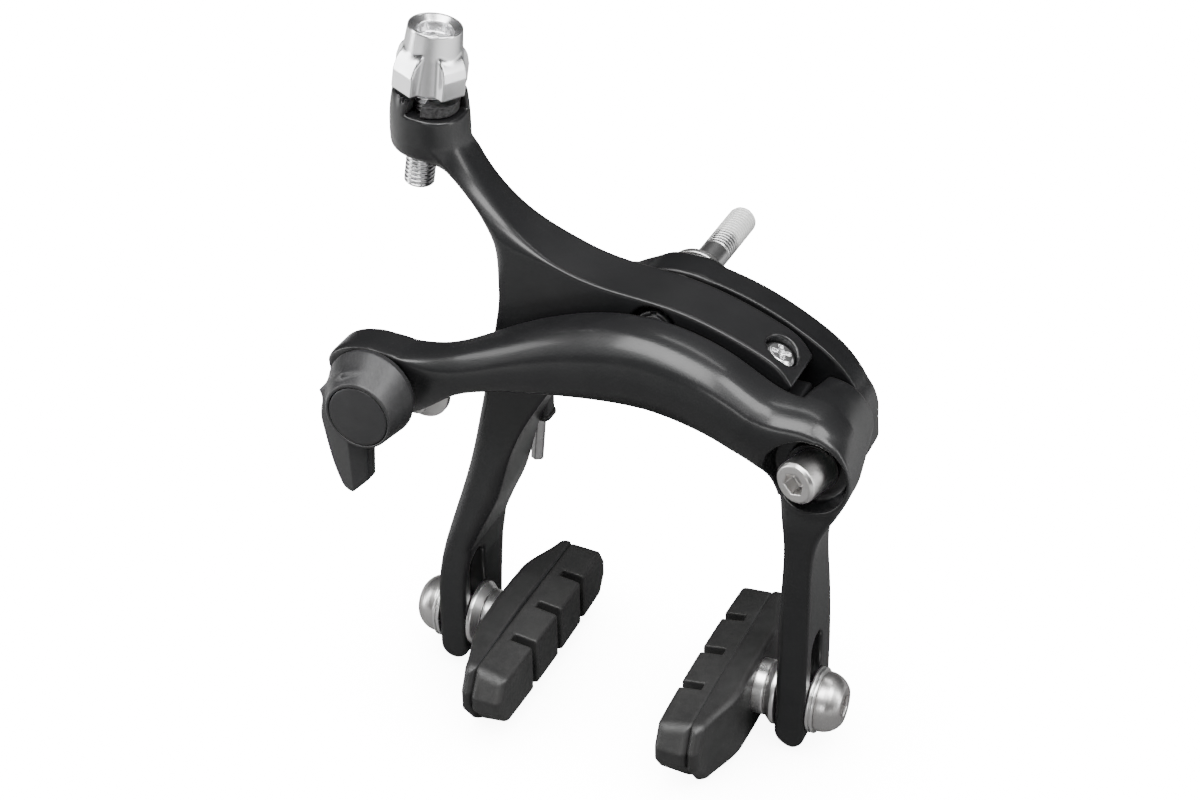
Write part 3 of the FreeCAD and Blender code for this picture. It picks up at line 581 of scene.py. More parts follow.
def back_arm(x, y, z):
    shape = back_upper(x, z)
    front = back_leg_front(z)
    rear = back_leg_rear(z)
    # The front top edge is wide and soft on the cable branch and sharp over the hub and tail.
    high = ramp(z, 2, 12) * ramp(-x, 18, 38)
    soft = 0.45 + 4.2 * high + 1.4 * ramp(z, 14, 26)
    # The outer left edge of the web and leg is soft, the leg's inner front edge is crisp.
    left = ramp(-x - 0.12 * (z + 20), 31, 37) * ramp(-z, -14, -4)
    front_r = soft + 1.7 * left * (1 - ramp(-z, 50, 65) * 0.7)
    rear_r = 0.9 + 2.2 * high
    body = both(shape, front - y, front_r)
    body = both(body, y - rear, rear_r)
    # The head: round about the screw, with a shoulder on its right.
    rho, h = around_adjuster(x, y, z)
    boss = both(rho - 6.3, slab(h, 7.4, 30), 2.2)
    body = either(body, boss, 3.5)
    right = x - ADJUSTER_FOOT[0] - h * ADJUSTER_AXIS[0]
    behind = y - ADJUSTER_FOOT[1]
    head = np.hypot(right - np.clip(right, 0, 2.2), behind) - 7.15
    body = both(body, head - 9 * (1 - ramp(h, 3, 12)) - 200 * (1 - ramp(h, -6, 4)), 0.8)
    body = both(body, h - 20.6, 0.7)
    body = without(body, np.maximum(rho - 3.2, -1 - h), 0.25)
    # The collar's seat, open to the front and right, so that its wall stands only on the left.
    body = without(body, np.maximum(rho - 6.3, 16.9 - h), 0.25)
    opening = np.maximum(np.maximum(-1.3 - right, behind - 3.0), np.maximum(rho - 7.7, 16.9 - h))
    body = without(body, opening, 0.3)
    # The nut's seat and the pivot's bore.
    pivot = np.hypot(x, z)
    body = without(body, np.maximum(pivot - 5.0, y + 20.4), 0.3)
    body = without(body, pivot - 4.42)
    # The pad slot with a rounded mouth.
    body = without(body, slot_distance(y, z) + 40 * ramp(x, -25, -10), 0.5)
    # The tail's screw recess.
    rho, h = around_centring(x, y, z)
    body = without(body, np.maximum(rho - 3.55, -2.6 - h), 0.3)
    body = without(body, np.maximum(rho - 2.05, -14 - h))
    return body


arm = solid("back_arm_sculpted", back_arm, (-58, -33, -86.5), (29, -9.5, 41.0), 0.42)
put(arm, SATIN, "back_arm_group", "back_arm")


# ---------------------------------------------------------------- the front arm

front_upper = flat_distance(outline([
    [(-47.5, -8.8), (-41, -7.9), (-34, -5.4), (-25.5, -1.8), (-16.5, 1.7), (-8, 3.9),
     (1, 4.5), (9.5, 3.2), (18, 0.2), (24, -3.2), (28.6, -5.2), (33.2, -5.8), (37.4, -7.2),
     (40.8, -10.4), (42.6, -15.6), (42.6, -21.5), (40.2, -27.5), (37.4, -33), (36.1, -40), (35.9, -50)],
    [(35.9, -82)],
    [(32.65, -85.25), (29.4, -82)],
    [(29.4, -56)],
    [(29.7, -48), (30.1, -40), (29.9, -32), (28.4, -25.4), (25.6, -20.6), (21.4, -17.4),
     (14, -14.2), (4, -12.1), (-8, -11.9), (-20, -12.9), (-30, -14.4),
     (-36.5, -16.6), (-40.2, -19.0), (-44.4, -22.2), (-49, -25.2), (-54.5, -26.4),
     (-60.6, -23.6), (-64.4, -18.2), (-63.9, -12.6), (-60, -9.6), (-55, -8.6)],
]))
ridge = line_distance(spline([
    (-70, -13), (-62, -9.6), (-56, -7.7), (-51.5, -8.2), (-46.5, -10.4), (-41, -11.6), (-34, -10.9),
    (-25.7, -8.2),
    (-17, -5.8), (-6, -3.7), (4, -3.5), (12, -4.6), (19, -6.8), (25.4, -9.6), (31.4, -10.3), (37.4, -11.6),
    (41.4, -15.4), (43.2, -21), (46, -30),
], 6))
RIDGE_PLACES = [0, 0.35, 0.62, 0.70, 0.78, 0.86, 1]
RIDGE_FRONT = [-37, -37, -37, -36.7, -35.2, -34.0, -33.4]
front_leg_front = between([
    (-33.2, -20), (-33.2, -27), (-32.7, -34), (-31.9, -46), (-31.7, -60), (-32, -74), (-32, -90),
])
front_leg_rear = between([
    (-25, 10), (-25, -22), (-24, -30), (-21, -40), (-18, -52), (-16.4, -64), (-16, -74), (-16, -90),
])


def front_arm(x, y, z):
    shape = front_upper(x, z)
    t, place = ridge(x, z)
    top_y = np.interp(place, RIDGE_PLACES, RIDGE_FRONT)
    # Above the ridge the section is a quarter ellipse back to the outline, below it a face that
    # leans back.
    wide = np.maximum(np.maximum(t, 0) + np.maximum(-shape, 0), 1.0)
    deep = np.interp(place, [0, 0.2, 0.32, 0.5, 0.75, 1], [2, 2.5, 6, 9.5, 9, 8])
    start = 0.42
    u = np.clip(start + (1 - start) * np.clip(t / wide, -1, 1), 0, 1.2)
    q = np.maximum((top_y + deep - y) / deep, 0) * math.sqrt(1 - start * start)
    upper = (np.hypot(u, q) - 1) * np.minimum(wide, deep)
    lower = top_y - 0.2 * t + np.where(t < 0, 0.006 * t * t, 0) - y
    crisp = np.interp(place, [0, 0.22, 0.34, 0.55, 0.7, 1], [0.4, 0.4, 1.2, 3.0, 2.0, 1.5])
    top = both(upper, lower, crisp)
    below = ramp(-z, 20, 32)
    leg_top = front_leg_front(z) - y
    front = top * (1 - below) + leg_top * below
    leg = ramp(-z, 30, 46)
    inner = ramp(-x, -34, -31)
    front_r = 1.3 * (1 - leg) + leg * (0.5 + 0.9 * inner)
    # Behind its middle the bend narrows towards the bridge.
    inset = (0.16 + 0.16 * ramp(z, -18, -8)) * np.maximum(y + 25, 0) * (1 - ramp(-z, 24, 32))
    body = both(shape + inset, front, front_r)
    rear = front_leg_rear(z) * ramp(x, 5, 20) - 25 * (1 - ramp(x, 5, 20))
    ear = np.interp(x, [-40, -36, -31, -27, -22], [-28.5, -28.1, -26.8, -25.6, -25])
    # The bend runs back to the bridge, with the side pivot's boss inside.
    run_back = both(both(31.0 - x, -28.5 - z, 2.5), y + 10.5, 0.9)
    body = both(body, np.minimum(y - np.where(x < -22, ear, rear), run_back), 0.8)
    rho = np.hypot(x - SIDE_X, z - SIDE_Z)
    cone = rho - (8.6 - (y + 33) * 0.15)
    outward = (SIDE_X - x) * 0.8 + (SIDE_Z - z) * 0.6
    boss = both(cone, slab(y, -33.2 + 0.12 * np.maximum(outward, 0), -10.5), 1.0)
    body = either(body, boss, 1.6)
    # The shelf that the centring screw rests on.
    shelf = both(slab(x, 16.5, 28.5), slab(z, -20, -11.1), 0.6)
    shelf = both(shelf, slab(y, -27, -12.2), 0.6)
    body = either(body, shelf, 1.0)
    # The recess: crisp on its upper right, opening softly to the lower left.
    open_side = ramp(outward / np.maximum(rho, 1e-6), 0.1, 0.9)
    cup = both(rho - (7.6 + 0.10 * np.maximum(-29 - y, 0)), y + 28.5, 1.0)
    body = without(body, cup, 0.3)
    cove = np.hypot(x - SIDE_X + 4.8, np.hypot(z - SIDE_Z + 3.2, (y + 38.5) * 0.75)) - 5.8
    body = without(body, cove, 0.4 + 1.2 * open_side)
    body = without(body, rho - 3.55)
    # The pad slot.
    body = without(body, slot_distance(y, z) + 40 * ramp(-x, -20, -10), 0.5)
    # The release's bore and the anchor's slot in the cable end.
    release = np.hypot(x + 52.8, z + 18.4)
    body = without(body, np.maximum(release - 3.1, y + 32.7), 0.2)
    dz = z - np.clip(z, -22.7, -19.1)
    anchor = np.hypot(x + 47.6, dz) - 2.8
    body = without(body, np.maximum(anchor, -32.3 - y), 0.3)
    return body


arm = solid("front_arm_sculpted", front_arm, (-63, -37.6, -86.5), (44.5, -10, 5), 0.42)
put(arm, SATIN, "front_arm_group", "front_arm")


# ---------------------------------------------------------------- the bridge

bridge_plan = flat_distance(outline([
    [(-9, 3.6), (-3.5, 5.4), (2, 5.5), (9, 4.2), (15.4, 2.2), (21.3, -0.4), (26.7, -3.4), (31.5, -6.8),
     (35.2, -10.9), (37.7, -15.5), (39.0, -19.8), (39.5, -24.6)],
    [(38.4, -28.0), (34.4, -28.4)],
    [(29.8, -25)],
    [(24, -18.5), (17, -13.2), (9, -9.8), (1, -8), (-7, -7), (-13, -4.6)],
    [(-14.6, -1.6), (-12.6, 1.6)],
]))


def bridge(x, y, z):
    shape = bridge_plan(x, z)
    # The arch is thinner than its hubs, whose rear faces stand proud.
    arch = both(both(shape, -9.5 - y, 0.3), y + 2.6, 0.6)
    hub = both(np.hypot(x, z) - 7.4, slab(y, -9.5, -1.5), 0.8)
    end = both(np.hypot(x - SIDE_X, z - SIDE_Z) - 4.6, slab(y, -9.5, -2.2), 0.6)
    hubs = np.minimum(both(hub, shape, 0.6), both(end, shape, 0.6))
    body = either(arch, hubs, 1.6)
    body = without(body, np.hypot(x, z) - 3.42)
    body = without(body, np.hypot(x - SIDE_X, z - SIDE_Z) - 2.52)
    return without(body, np.hypot(x + 10.5, z + 1.0) - 0.95, 0.2)


plate = solid("bridge_cast", bridge, (-15.5, -9.6, -27.5), (40.5, -1.4, 6), 0.36)
put(plate, BRIDGE, "mount", "bridge")


# ---------------------------------------------------------------- bolts, washers, small turned parts


def lathe(name, profile, pitch, round_by=0.25, cut=None):
    """A solid turned about its own Z, corners rounded, with an optional cut(x, y, z)."""
    inner = flat_distance(np.array(shrink(profile, round_by)))
    top = max(h for _, h in profile)
    low = min(h for _, h in profile)
    wide = max(r for r, _ in profile)

    def field(x, y, z):
        d = inner(np.hypot(x, y), z) - round_by
        return d if cut is None else without(d, cut(x, y, z), 0.15)

    return solid(name, field, (-wide, -wide, low), (wide, wide, top), pitch)


def shrink(profile, by):
    """Moves an outline's straight sides inward, except one on the axis, which moves outward."""
    p = np.array(profile, float)
    area = 0.5 * np.sum(p[:, 0] * np.roll(p[:, 1], -1) - np.roll(p[:, 0], -1) * p[:, 1])
    if area < 0:
        p = p[::-1]
    lines = []
    for a, b in zip(p, np.roll(p, -1, 0)):
        d = (b - a) / np.linalg.norm(b - a)
        n = np.array([-d[1], d[0]])
        on_axis = abs(a[0]) < 1e-6 and abs(b[0]) < 1e-6
        lines.append((a + n * (-3.0 if on_axis else by), d))
    corners = []
    for (a, d), (c, e) in zip(lines, lines[1:] + lines[:1]):
        s = np.linalg.solve(np.array([d, -e]).T, c - a)
        corners.append(a + d * s[0])
    return corners


def socket(depth_from, depth, across):
    """A hexagon socket, opening towards lower heights."""
    return lambda x, y, z: np.maximum(hexagon_distance(x, y, across), z - depth_from - depth)


REAR = (0, 1, 0)
side_head = lathe(
    "side_bolt_head",
    [(0, -36.4), (3.7, -36.4), (4.3, -35.7), (4.3, -28.0), (0, -28.0)], 0.16, 0.3,
    socket(-36.4, 3.0, 4.0),
)
# The head leans out of the recess towards the left.
side_head.data.transform(
    Matrix.Translation(Vector((SIDE_X, -32.2, SIDE_Z)) * MM)
    @ Matrix.Rotation(math.radians(-18), 4, "Z")
    @ Matrix.Translation(Vector((0, 32.2, 0)) * MM)
    @ along((0, 0, 0), REAR, 12)
)
side_shank = threaded_bar(
    "side_bolt_shank", -29.5, -1.8, 2.5, 0.9, along((SIDE_X, 0, SIDE_Z), REAR), (-9, -1.8), 0.5,
)
put(side_head, STEEL, "mount", "side_pivot_bolt")
put(side_shank, STEEL, "mount")

stud = threaded_bar("mount_stud", 0, 26, 3.0, 1.0, along((0, 0, 0), REAR), (9, 26), 0.9)
put(stud, STUD, "mount", "mount_bolt")
journal = lathe("mount_journal", [(0, -20.5), (3.4, -20.5), (3.4, 0.3), (0, 0.3)], 0.3, 0.2)
journal.data.transform(along((0, 0, 0), REAR))
put(journal, STEEL, "mount")
stud_front = threaded_bar("mount_stud_front", -23.1, -19, 3.0, 1.0, along((0, 0, 0), REAR), None, 0.5)
put(stud_front, CAP, "mount")

# The nut takes the dark cap material so that, where it shows in the gap between the two arms, it reads as
# the shade there: painted shade.
nut = lathe(
    "centre_nut", [(2.9, -20.5), (3.7, -20.5), (3.7, -22.8), (3.5, -23.0), (2.9, -23.0)], 0.15, 0.15,
    lambda x, y, z: np.maximum(np.abs(x) - 0.6, z + 22.4),
)
nut.data.transform(along((0, 0, 0), REAR))
put(nut, CAP, "mount", "centre_pivot_nut")

seat_washer = lathe("mount_washer_rounded", [(3.5, -1.5), (6.0, -1.5), (6.0, 0), (3.5, 0)], 0.16, 0.3)
seat_washer.data.transform(along((0, 0, 0), REAR))
put(seat_washer, WASHER, "mount", "mount_washer")
head_washer = lathe(
    "side_head_washer_rounded", [(2.6, -29.7), (4.9, -29.7), (4.9, -29), (2.6, -29)], 0.14, 0.15,
)
head_washer.data.transform(along((SIDE_X, 0, SIDE_Z), REAR))
put(head_washer, CAP, "mount", "side_head_washer")

for node, material in (
    ("centre_thrust_washer", CAP), ("side_thrust_washer", CAP),
    ("centre_pivot_bush", STEEL), ("side_pivot_bush", STEEL),
):
    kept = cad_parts[node]
    kept.data.materials.clear()
    kept.data.materials.append(material)

# ---------------------------------------------------------------- the cable adjuster

LEANING = Matrix.Translation(Vector(ADJUSTER_FOOT) * MM) @ Matrix.Rotation(LEAN, 4, "Y")
screw = threaded_bar("adjuster_thread", 0, 20.5, 3.0, 0.9, LEANING, None, 0.6)
put(screw, ALLOY, "adjuster_screw", "adjuster_bolt")


def collar(x, y, z):
    rho = np.hypot(x, y)
    ring = both(rho - 6.15, slab(z, 16.95, 20.9), 0.4)
    ring = without(ring, rho - 3.3, 0.2)
    return without(ring, np.maximum(np.abs(x) - 1.4, y), 0.2)


ring = solid("adjuster_collar_cast", collar, (-6.3, -6.3, 13.4), (6.3, 6.3, 18.8), 0.2)
ring.data.transform(LEANING)
put(ring, COLLAR, "back_arm_group", "adjuster_collar")

knob_turned = flat_distance([
    (-1, 21.8), (5.7, 21.8), (5.5, 25), (5.25, 28.6), (4.8, 33.3), (4.5, 33.4), (-1, 33.4),
])


def knob(x, y, z):
    rho = np.hypot(x, y)
    turn = np.arctan2(y, x) + math.radians(23)
    body = knob_turned(rho, z) - 0.45
    # Four flat-faced lugs stand on the skirt and slope into the barrel at their tops.
    quarter = math.pi / 2
    away = np.abs((turn + quarter / 2) % quarter - quarter / 2)
    out = rho * np.cos(away)
    across = rho * np.sin(away)
    face = out - 7.15 + np.maximum(z - 25.2, 0) * 0.30
    lug = both(both(face, across - 2.9, 0.35), (z - 28.9 + (out - 5.4) * 1.1) / 1.5, 0.5)
    lug = both(lug, 21.25 - z, 0.4)
    body = either(body, lug, 0.5)
    dish = (rho - 3.5 - (z - 32.7) * 1.35) / 1.68
    well = np.maximum(np.minimum(rho - 3.5, dish), 30.6 - z)
    body = without(body, well, 0.2)
    body = without(body, np.maximum(rho - 1.45, 20 - z), 0.2)
    return without(body, np.maximum(rho - 3.06, z - 22.6), 0.15)


cap_knob = solid("adjuster_knob_cast", knob, (-7.8, -7.8, 20.9), (7.8, 7.8, 34.0), 0.17)
cap_knob.data.transform(LEANING)
put(cap_knob, ALLOY, "adjuster_knob_group", "adjuster_knob")

# ---------------------------------------------------------------- quick release, anchor

RELEASE_X, RELEASE_Z = -52.8, -18.4
CAP_X, CAP_Z = RELEASE_X, RELEASE_Z - 0.7
blade_plan = flat_distance(outline([
    [(-63.4, -17.4)],
    [(-63.0, -18), (-63.4, -22), (-63.2, -26), (-62.3, -31), (-60.9, -36), (-59.9, -38.3)],
    [(-58.6, -39.4), (-57.0, -39.5)],
    [(-53.6, -36.2)],
    [(-53.0, -27.5)],
    [(-50, -25), (-47.4, -22)],
    [(-50, -12), (-57, -11)],
]))


def release(x, y, z):
    rho = np.hypot(x - RELEASE_X, z - RELEASE_Z)
    # The drum is a little off the pivot and narrows in one slope from its rim to the cap.
    forward = np.clip(-y - 38.6, 0, 8)
    drum_rho = np.hypot(x - RELEASE_X + 0.6 - 0.09 * forward, z - RELEASE_Z - 0.9 + 0.22 * forward)
    drum = both(drum_rho - 9.5 + forward * 0.35, slab(y, -45.5, -38.5), 0.35)
    collar_rho = np.hypot(x - RELEASE_X + 0.6, z - RELEASE_Z - 0.9)
    disc = both(collar_rho - 9.1, slab(y, -38.8, -37.4), 0.3)
    body = np.minimum(disc, drum)
    # The blade hangs from the drum's left, with two facets meeting in a blunt ridge.
    ridge_at = x + 56.6
    facet = -y - 43.8 + 0.28 * np.abs(ridge_at) + 0.05 * np.maximum(-24 - z, 0)
    blade = both(blade_plan(x, z), np.maximum(facet, y + 38.6), 0.6)
    body = either(body, blade, 1.0)
    pin = np.maximum(rho - 3.0, slab(y, -38, -33.1))
    body = np.minimum(body, pin)
    return without(body, np.maximum(np.hypot(x - CAP_X, z - CAP_Z) - 6.5, y + 44.3), 0.15)


lever = solid("release_lever_cast", release, (-64.5, -45.8, -40), (-43.0, -33, -7.5), 0.26)
put(lever, LEVER, "release", "release_lever")


def release_cap(x, y, z):
    rho = np.hypot(x - CAP_X, z - CAP_Z)
    crown = -45.6 + 0.004 * rho * rho - y
    return both(both(rho - 6.4, crown, 0.3), y + 43.9, 0.1)


cap = solid("release_cap_disc", release_cap, (-59.6, -45.8, -25.8), (-46, -43.7, -12.4), 0.2)
put(cap, CAP, "release", "release_cap")

anchor_head = lathe(
    "anchor_bolt_head",
    [(0, -32), (2.5, -32), (2.5, -26.5), (4.4, -26.5), (4.4, -23.3), (3.9, -22.7), (0, -22.7)], 0.16, 0.2,
    lambda x, y, z: np.maximum(hexagon_distance(x, y, 4.0), -25.3 - z),
)
anchor_head.data.transform(along((-47.6, 0, -22.4), REAR))
put(anchor_head, STEEL, "cable_anchor", "anchor_bolt")
anchor_ring = lathe(
    "anchor_plate_grooved", [(2.6, -28.1), (5.4, -28.1), (5.4, -26.5), (2.6, -26.5)], 0.16, 0.25,
    lambda x, y, z: np.hypot(y - 3.6, z + 28.1) - 0.6,
)
anchor_ring.data.transform(along((-47.6, 0, -22.4), REAR))
put(anchor_ring, STEEL, "cable_anchor", "anchor_plate")

# ---------------------------------------------------------------- centring screw, spring


def cross_cut(x, y, z):
    cross = np.minimum(
        np.maximum(np.abs(x) - 0.42, np.abs(y) - 1.9), np.maximum(np.abs(y) - 0.42, np.abs(x) - 1.9)
    )
    return np.maximum(cross, -1.5 - z + 0.35 * np.hypot(x, y))


centring = lathe(
    "centring_screw_head",
    [(0, -9.2), (1.2, -9.2), (1.95, -8.4), (1.95, -2.6), (3.2, -2.6), (3.2, -1.2), (2.3, -0.5), (0, -0.5)],
    0.13, 0.15, cross_cut,
)
centring.data.transform(along(CENTRING_TOP, CENTRING_AXIS, 28))
put(centring, ALLOY, "centring", "centring_screw")

WIRE = [
    (-10.5, -2.5, -1.0), (-10.5, 1.8, -1.0), (-17.5, 1.8, -2.2),
    (-25.0, -2.0, -14.0), (-30.6, -8.6, -28.0), (-32.0, -8.6, -36.0),
]


def rounded_path(corners, bend, steps=8):
    """Straight runs joined by round bends."""
    p = [np.array(c, float) for c in corners]
    out = [p[0]]
    for before, here, after in zip(p, p[1:], p[2:]):
        a = (before - here) / np.linalg.norm(before - here)
        b = (after - here) / np.linalg.norm(after - here)
        half = math.acos(np.clip(a @ b, -1, 1)) / 2
        cut = bend / math.tan(half)
        middle = (a + b) / np.linalg.norm(a + b)
        centre = here + middle * bend / math.sin(half)
        first, last = here + a * cut - centre, here + b * cut - centre
        sweep = math.acos(np.clip(first @ last / bend**2, -1, 1))
        for s in np.linspace(0, 1, steps + 1):
            blend = first * math.sin((1 - s) * sweep) + last * math.sin(s * sweep)
            out.append(centre + blend / math.sin(sweep))
    out.append(p[-1])
    return out


WIRE_RADIUS = 0.9
WIRE_BEND = 2.7


def wire_radius(i, angles):
    """The same radius at every ring and all round."""
    return np.full(len(angles), WIRE_RADIUS)


spring = tube("return_spring_wire", rounded_path(WIRE, WIRE_BEND), wire_radius, 20)
spring.data.materials.clear()
spring.data.materials.append(SPRING)
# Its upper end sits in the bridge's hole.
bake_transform(spring)
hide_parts("return_spring")


def strip_place(x, y, z):
    """How far a point is across the strip, and how far behind its folded middle surface."""
    across = x + 31.2 - (z + 31) * 0.095
    return across, y + 8.6 - 0.55 * np.abs(across)


def strip(x, y, z):
    """The spring's flat lower end, folded lengthwise."""
    across, fold = strip_place(x, y, z)
    body = both(slab(across, -1.35, 1.35), slab(fold, -0.42, 0.42), 0.15)
    return both(body, slab(z, -46.4, -30.0), 0.2)


lower_end = solid("return_spring_strip", strip, (-35, -10, -46.6), (-28, -6, -29.8), 0.16)
put(lower_end, SPRING, "back_arm_group")


def shoe(x, y, z):
    body = both(slab(x, -33.6, -28.6), slab(y, -11.0, -6.6), 0.8)
    body = both(body, slab(z, -34.2, -28.5), 0.7)
    ring = both(both(slab(x, -34.0, -28.2), slab(y, -11.3, -6.3), 1.2), slab(z, -34.8, -33.4), 0.5)
    body = np.minimum(body, ring)
    across, fold = strip_place(x, y, z)
    return without(body, np.maximum(slab(across, -1.55, 1.55), slab(fold, -0.6, 0.6)), 0.2)


block = solid("spring_shoe_moulded", shoe, (-34.2, -11.5, -35), (-28, -6.1, -28.3), 0.22)
put(block, CAP, "back_arm_group", "spring_shoe")

# ---------------------------------------------------------------- pads and their hardware

PAD_Z = -76.5


def pad_rubber(way):
    """The brake rubber in its own axes: X towards the rim, Y along, Z up."""

    def field(x, y, z):
        along_y = np.abs(y)
        # Its top falls towards the rim and its lower edge rises.
        top = z - (5.6 - (x - 6) * 0.14)
        bottom = (-8.4 + (x - 6) * 0.34) - z
        end = along_y - 26.9 + np.maximum(-z - 2.5, 0) * 0.75 + np.maximum(z - 0.5, 0) * 0.62
        body = both(both(top, bottom, 0.8), slab(x, 5.5, 13.0 - 0.0009 * y * y), 0.6)
        body = both(body, end, 1.6)
        for place_along in (-11.0, 1.0, 13.0):
            groove = np.maximum(np.abs(y - way * place_along) - 1.05, 8.0 - x)
            body = without(body, groove, 0.28)
        return body

    return field


def pad_holder(x, y, z):
    along_y = np.abs(y)
    back = -0.2 + 3.4 * ramp(along_y, 10, 25)
    hump = np.exp(-((along_y / 13.0) ** 2))
    top = z - (6.4 - 0.12 * x + 0.8 * hump)
    bottom = (-8.8 - 0.9 * hump - 0.05 * x) - z
    end = along_y - 27.0 + np.maximum(-z - 3.0, 0) * 0.75 + np.maximum(z - 1.0, 0) * 0.55
    body = both(both(top, bottom, 1.6), back - x, 1.3)
    body = both(body, x - 5.7, 0.4)
    body = both(body, end, 2.0)
    body = without(body, np.maximum(np.hypot(y, z) - 3.05, x - 4.6), 0.3)
    # The blind moulding hole beside the bolt.
    return without(body, np.maximum(np.hypot(y + 17, z + 4.6) - 1.1, x - 6), 0.3)


def pad_bolt_profile(thickness):
    """The domed head above the washer, then the shank into the pad, by radius and height."""
    return [
        (0, -6.3), *arc((3.9, -6.3), (5.5, -4.7), (6.2, -2.2), 6), (6.2, -1.6), (3.0, -1.6),
        (3.0, thickness + 9.4), (0, thickness + 9.4),
    ]


for side, inward, inner, outer in (("left", 1, -39.0, -45.3), ("right", -1, 29.4, 35.9)):
    body = side + "_pad"
    thick = abs(outer - inner)
    at_outer = along((outer, SLOT_Y, PAD_Z), (inward, 0, 0), 10)
    at_inner = along((inner, SLOT_Y, PAD_Z), (inward, 0, 0))
    bolt = lathe(side + "_bolt_head", pad_bolt_profile(thick), 0.18, 0.3, socket(-6.3, 3.2, 4.2))
    bolt.data.transform(at_outer)
    put(bolt, STEEL, body, side + "_pad_bolt")
    washer = lathe(
        side + "_flat_washer", [(3.1, -1.6), (6.8, -1.6), (6.8, -0.05), (3.1, -0.05)], 0.15, 0.3,
        lambda x, y, z: np.maximum(np.abs(z + 0.85) - 0.13, 6.3 - np.hypot(x, y)),
    )
    washer.data.transform(at_outer)
    put(washer, WASHER, body, side + "_outer_washer")
    cup = lathe(
        side + "_cup_washer", [(3.4, 0.05), (7.0, 0.05), (7.0, 1.0), (5.6, 2.6), (3.4, 1.3)], 0.17, 0.25,
    )
    cup.data.transform(at_inner)
    put(cup, WASHER, body, side + "_concave_washer")
    dome = lathe(
        side + "_dome_washer", [(3.05, 1.5), (3.6, 1.5), (5.7, 2.9), (5.7, 5.3), (3.05, 5.3)], 0.17, 0.25,
    )
    dome.data.transform(at_inner)
    put(dome, WASHER, body, side + "_convex_washer")
    stand = Matrix.Translation(Vector((inner + inward * 5.3, SLOT_Y, PAD_Z)) * MM)
    turn = Matrix.Rotation(0 if inward == 1 else math.pi, 4, "Z")
    holder = solid(side + "_holder_moulded", pad_holder, (-0.4, -27.2, -10.8), (5.9, 27.2, 7.6), 0.3)
    holder.data.transform(stand @ turn)
    put(holder, HOLDER, body, side + "_pad_holder")
    block = solid(side + "_rubber_moulded", pad_rubber(inward), (4.8, -27, -9), (13.2, 27, 6), 0.3)
    block.data.transform(stand @ turn)
    put(block, RUBBER, body, side + "_brake_pad")


# ---------------------------------------------------------------- camera, floor and light

LOOK_AZIMUTH, LOOK_ELEVATION, LOOK_ROLL = 24.0, 32.0, 1.0
CAMERA_AT = (0.1368, -0.3555, 0.2091)

camera = bpy.data.objects.new("camera", bpy.data.cameras.new("camera"))
bpy.context.scene.collection.objects.link(camera)
camera.data.sensor_width = 36.0
camera.data.lens = 66.0
camera.data.clip_start = 0.01
camera.data.clip_end = 50
a, e = math.radians(LOOK_AZIMUTH), math.radians(LOOK_ELEVATION)
right = Vector((math.cos(a), math.sin(a), 0))
up = Vector((-math.sin(a) * math.sin(e), math.cos(a) * math.sin(e), math.cos(e)))
back = right.cross(up)
roll = math.radians(LOOK_ROLL)
right, up = math.cos(roll) * right - math.sin(roll) * up, math.sin(roll) * right + math.cos(roll) * up
camera.matrix_world = Matrix.Translation(CAMERA_AT) @ Matrix((right, up, back)).transposed().to_4x4()
bpy.context.scene.camera = camera

low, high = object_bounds()
floor_mesh = mesh_from("floor", [(-6, -6, 0), (6, -6, 0), (6, 6, 0), (-6, 6, 0)], [(0, 1, 2, 3)])
floor = bpy.data.objects.new("floor", floor_mesh)
floor.location.z = low.z - 0.0002
bpy.context.scene.collection.objects.link(floor)
floor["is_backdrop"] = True

white = bpy.data.materials.new("floor_white")
white.use_nodes = True
tree = white.node_tree
tree.nodes.clear()
out = tree.nodes.new("ShaderNodeOutputMaterial")
glow = tree.nodes.new("ShaderNodeEmission")
paper = tree.nodes.new("ShaderNodeBsdfDiffuse")
# In reflections it is a dark board between two bright ones, as beside a product table.
ground = tree.nodes.new("ShaderNodeTexCoord")
sides = tree.nodes.new("ShaderNodeSeparateXYZ")
strips = tree.nodes.new("ShaderNodeValToRGB")
for place_on, tone in ((0.36, 0.75), (0.455, 0.22), (0.53, 0.12), (0.60, 0.55), (0.66, 0.75)):
    stop = strips.color_ramp.elements.new(place_on)
    stop.color = (tone, tone, tone, 1)
strips.color_ramp.elements.remove(strips.color_ramp.elements[0])
strips.color_ramp.elements.remove(strips.color_ramp.elements[-1])
shift = tree.nodes.new("ShaderNodeMapRange")
shift.inputs["From Min"].default_value = -1
tree.links.new(ground.outputs["Object"], sides.inputs[0])
tree.links.new(sides.outputs["X"], shift.inputs["Value"])
tree.links.new(shift.outputs[0], strips.inputs[0])
tree.links.new(strips.outputs[0], paper.inputs["Color"])
# To the camera the floor glows, and it glows less where the ambient occlusion finds the caliper near: a
# painted contact shadow under it.
painted_contact_shadow = tree.nodes.new("ShaderNodeAmbientOcclusion")
painted_contact_shadow.inputs["Distance"].default_value = 0.05
painted_contact_shadow.samples = 8
power = tree.nodes.new("ShaderNodeMapRange")
power.inputs["To Min"].default_value = 7.0
power.inputs["To Max"].default_value = 17.0
seen = tree.nodes.new("ShaderNodeLightPath")
mix = tree.nodes.new("ShaderNodeMixShader")
tree.links.new(painted_contact_shadow.outputs["AO"], power.inputs["Value"])
tree.links.new(power.outputs[0], glow.inputs["Strength"])
tree.links.new(seen.outputs["Is Camera Ray"], mix.inputs[0])
tree.links.new(paper.outputs[0], mix.inputs[1])
tree.links.new(glow.outputs[0], mix.inputs[2])
tree.links.new(mix.outputs[0], out.inputs[0])
floor_mesh.materials.append(white)

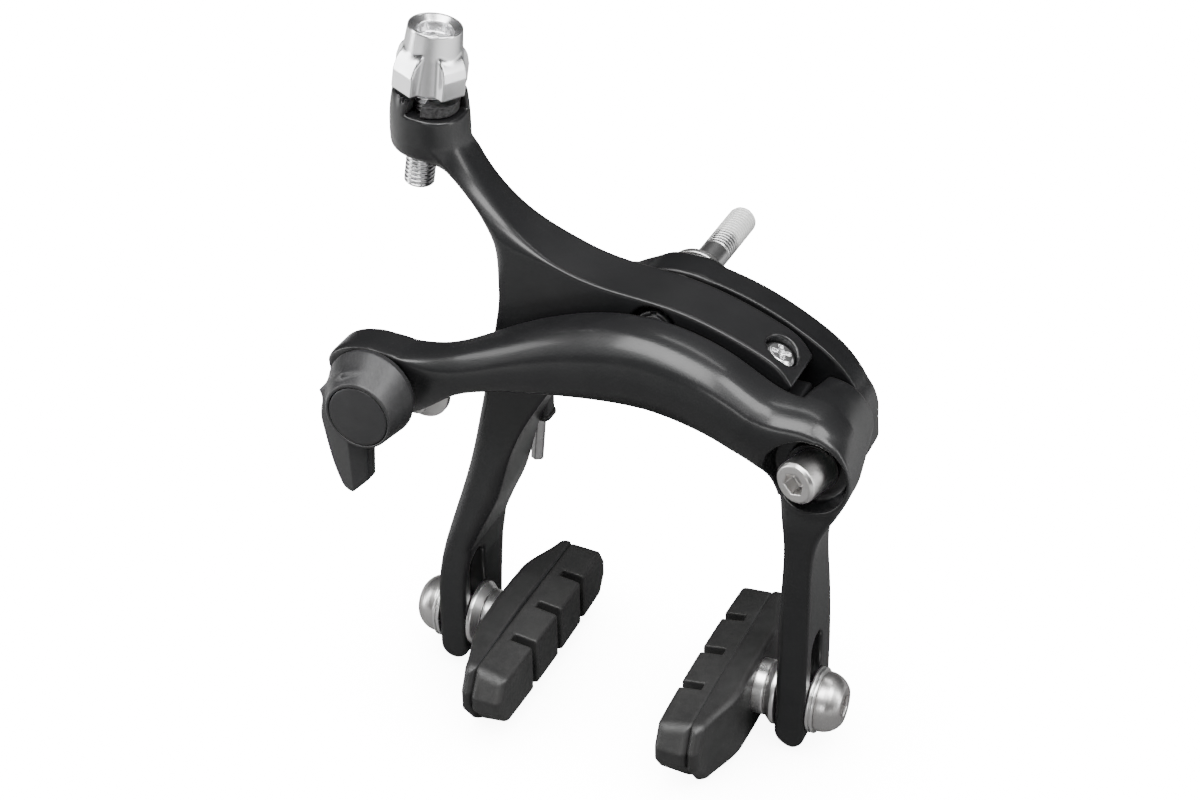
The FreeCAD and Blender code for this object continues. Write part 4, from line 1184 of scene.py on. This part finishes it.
world = bpy.data.worlds.new("studio")
bpy.context.scene.world = world
world.use_nodes = True
tree = world.node_tree
tree.nodes.clear()
out = tree.nodes.new("ShaderNodeOutputWorld")
seen = tree.nodes.new("ShaderNodeLightPath")
plain = tree.nodes.new("ShaderNodeBackground")
plain.inputs["Color"].default_value = (1, 1, 1, 1)
plain.inputs["Strength"].default_value = 17.0
studio = tree.nodes.new("ShaderNodeBackground")
studio.inputs["Strength"].default_value = 0.22
where = tree.nodes.new("ShaderNodeTexCoord")
split = tree.nodes.new("ShaderNodeSeparateXYZ")
fade = tree.nodes.new("ShaderNodeValToRGB")
fade.color_ramp.elements[0].position = 0.45
fade.color_ramp.elements[0].color = (0.04, 0.04, 0.04, 1)
fade.color_ramp.elements[1].position = 1.0
fade.color_ramp.elements[1].color = (1, 1, 1, 1)
tree.links.new(where.outputs["Generated"], split.inputs[0])
half = tree.nodes.new("ShaderNodeMapRange")
half.inputs["From Min"].default_value = -1
tree.links.new(split.outputs["Z"], half.inputs["Value"])
tree.links.new(half.outputs[0], fade.inputs[0])
tree.links.new(fade.outputs[0], studio.inputs["Color"])
mix = tree.nodes.new("ShaderNodeMixShader")
tree.links.new(seen.outputs["Is Camera Ray"], mix.inputs[0])
tree.links.new(studio.outputs[0], mix.inputs[1])
tree.links.new(plain.outputs[0], mix.inputs[2])
tree.links.new(mix.outputs[0], out.inputs[0])


def softbox(name, at, towards, size, watts):
    """A rectangular area light at a point, facing another, sizes in metres."""
    light = bpy.data.lights.new(name, "AREA")
    light.shape = "RECTANGLE"
    light.size, light.size_y = size
    light.energy = watts
    lamp = bpy.data.objects.new(name, light)
    bpy.context.scene.collection.objects.link(lamp)
    lamp.location = at
    lamp.rotation_euler = (Vector(towards) - Vector(at)).to_track_quat("-Z", "Y").to_euler()
    return lamp


MIDDLE = (-0.005, -0.02, -0.02)
softbox("key_top", (-0.05, -0.34, 0.72), MIDDLE, (0.60, 0.42), 11.0)
softbox("key_right", (0.50, -0.14, 0.66), MIDDLE, (0.40, 0.40), 7.0)
softbox("front_low", (0.15, -0.90, 0.12), MIDDLE, (0.30, 0.20), 1.2)
softbox("side_left", (-0.75, -0.30, 0.25), MIDDLE, (0.20, 0.7), 4.0)
softbox("side_right", (0.80, 0.10, 0.15), MIDDLE, (0.20, 0.6), 3.0)
softbox("rim_back", (0.10, 0.50, 0.80), MIDDLE, (0.5, 0.10), 1.2)

low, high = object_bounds()
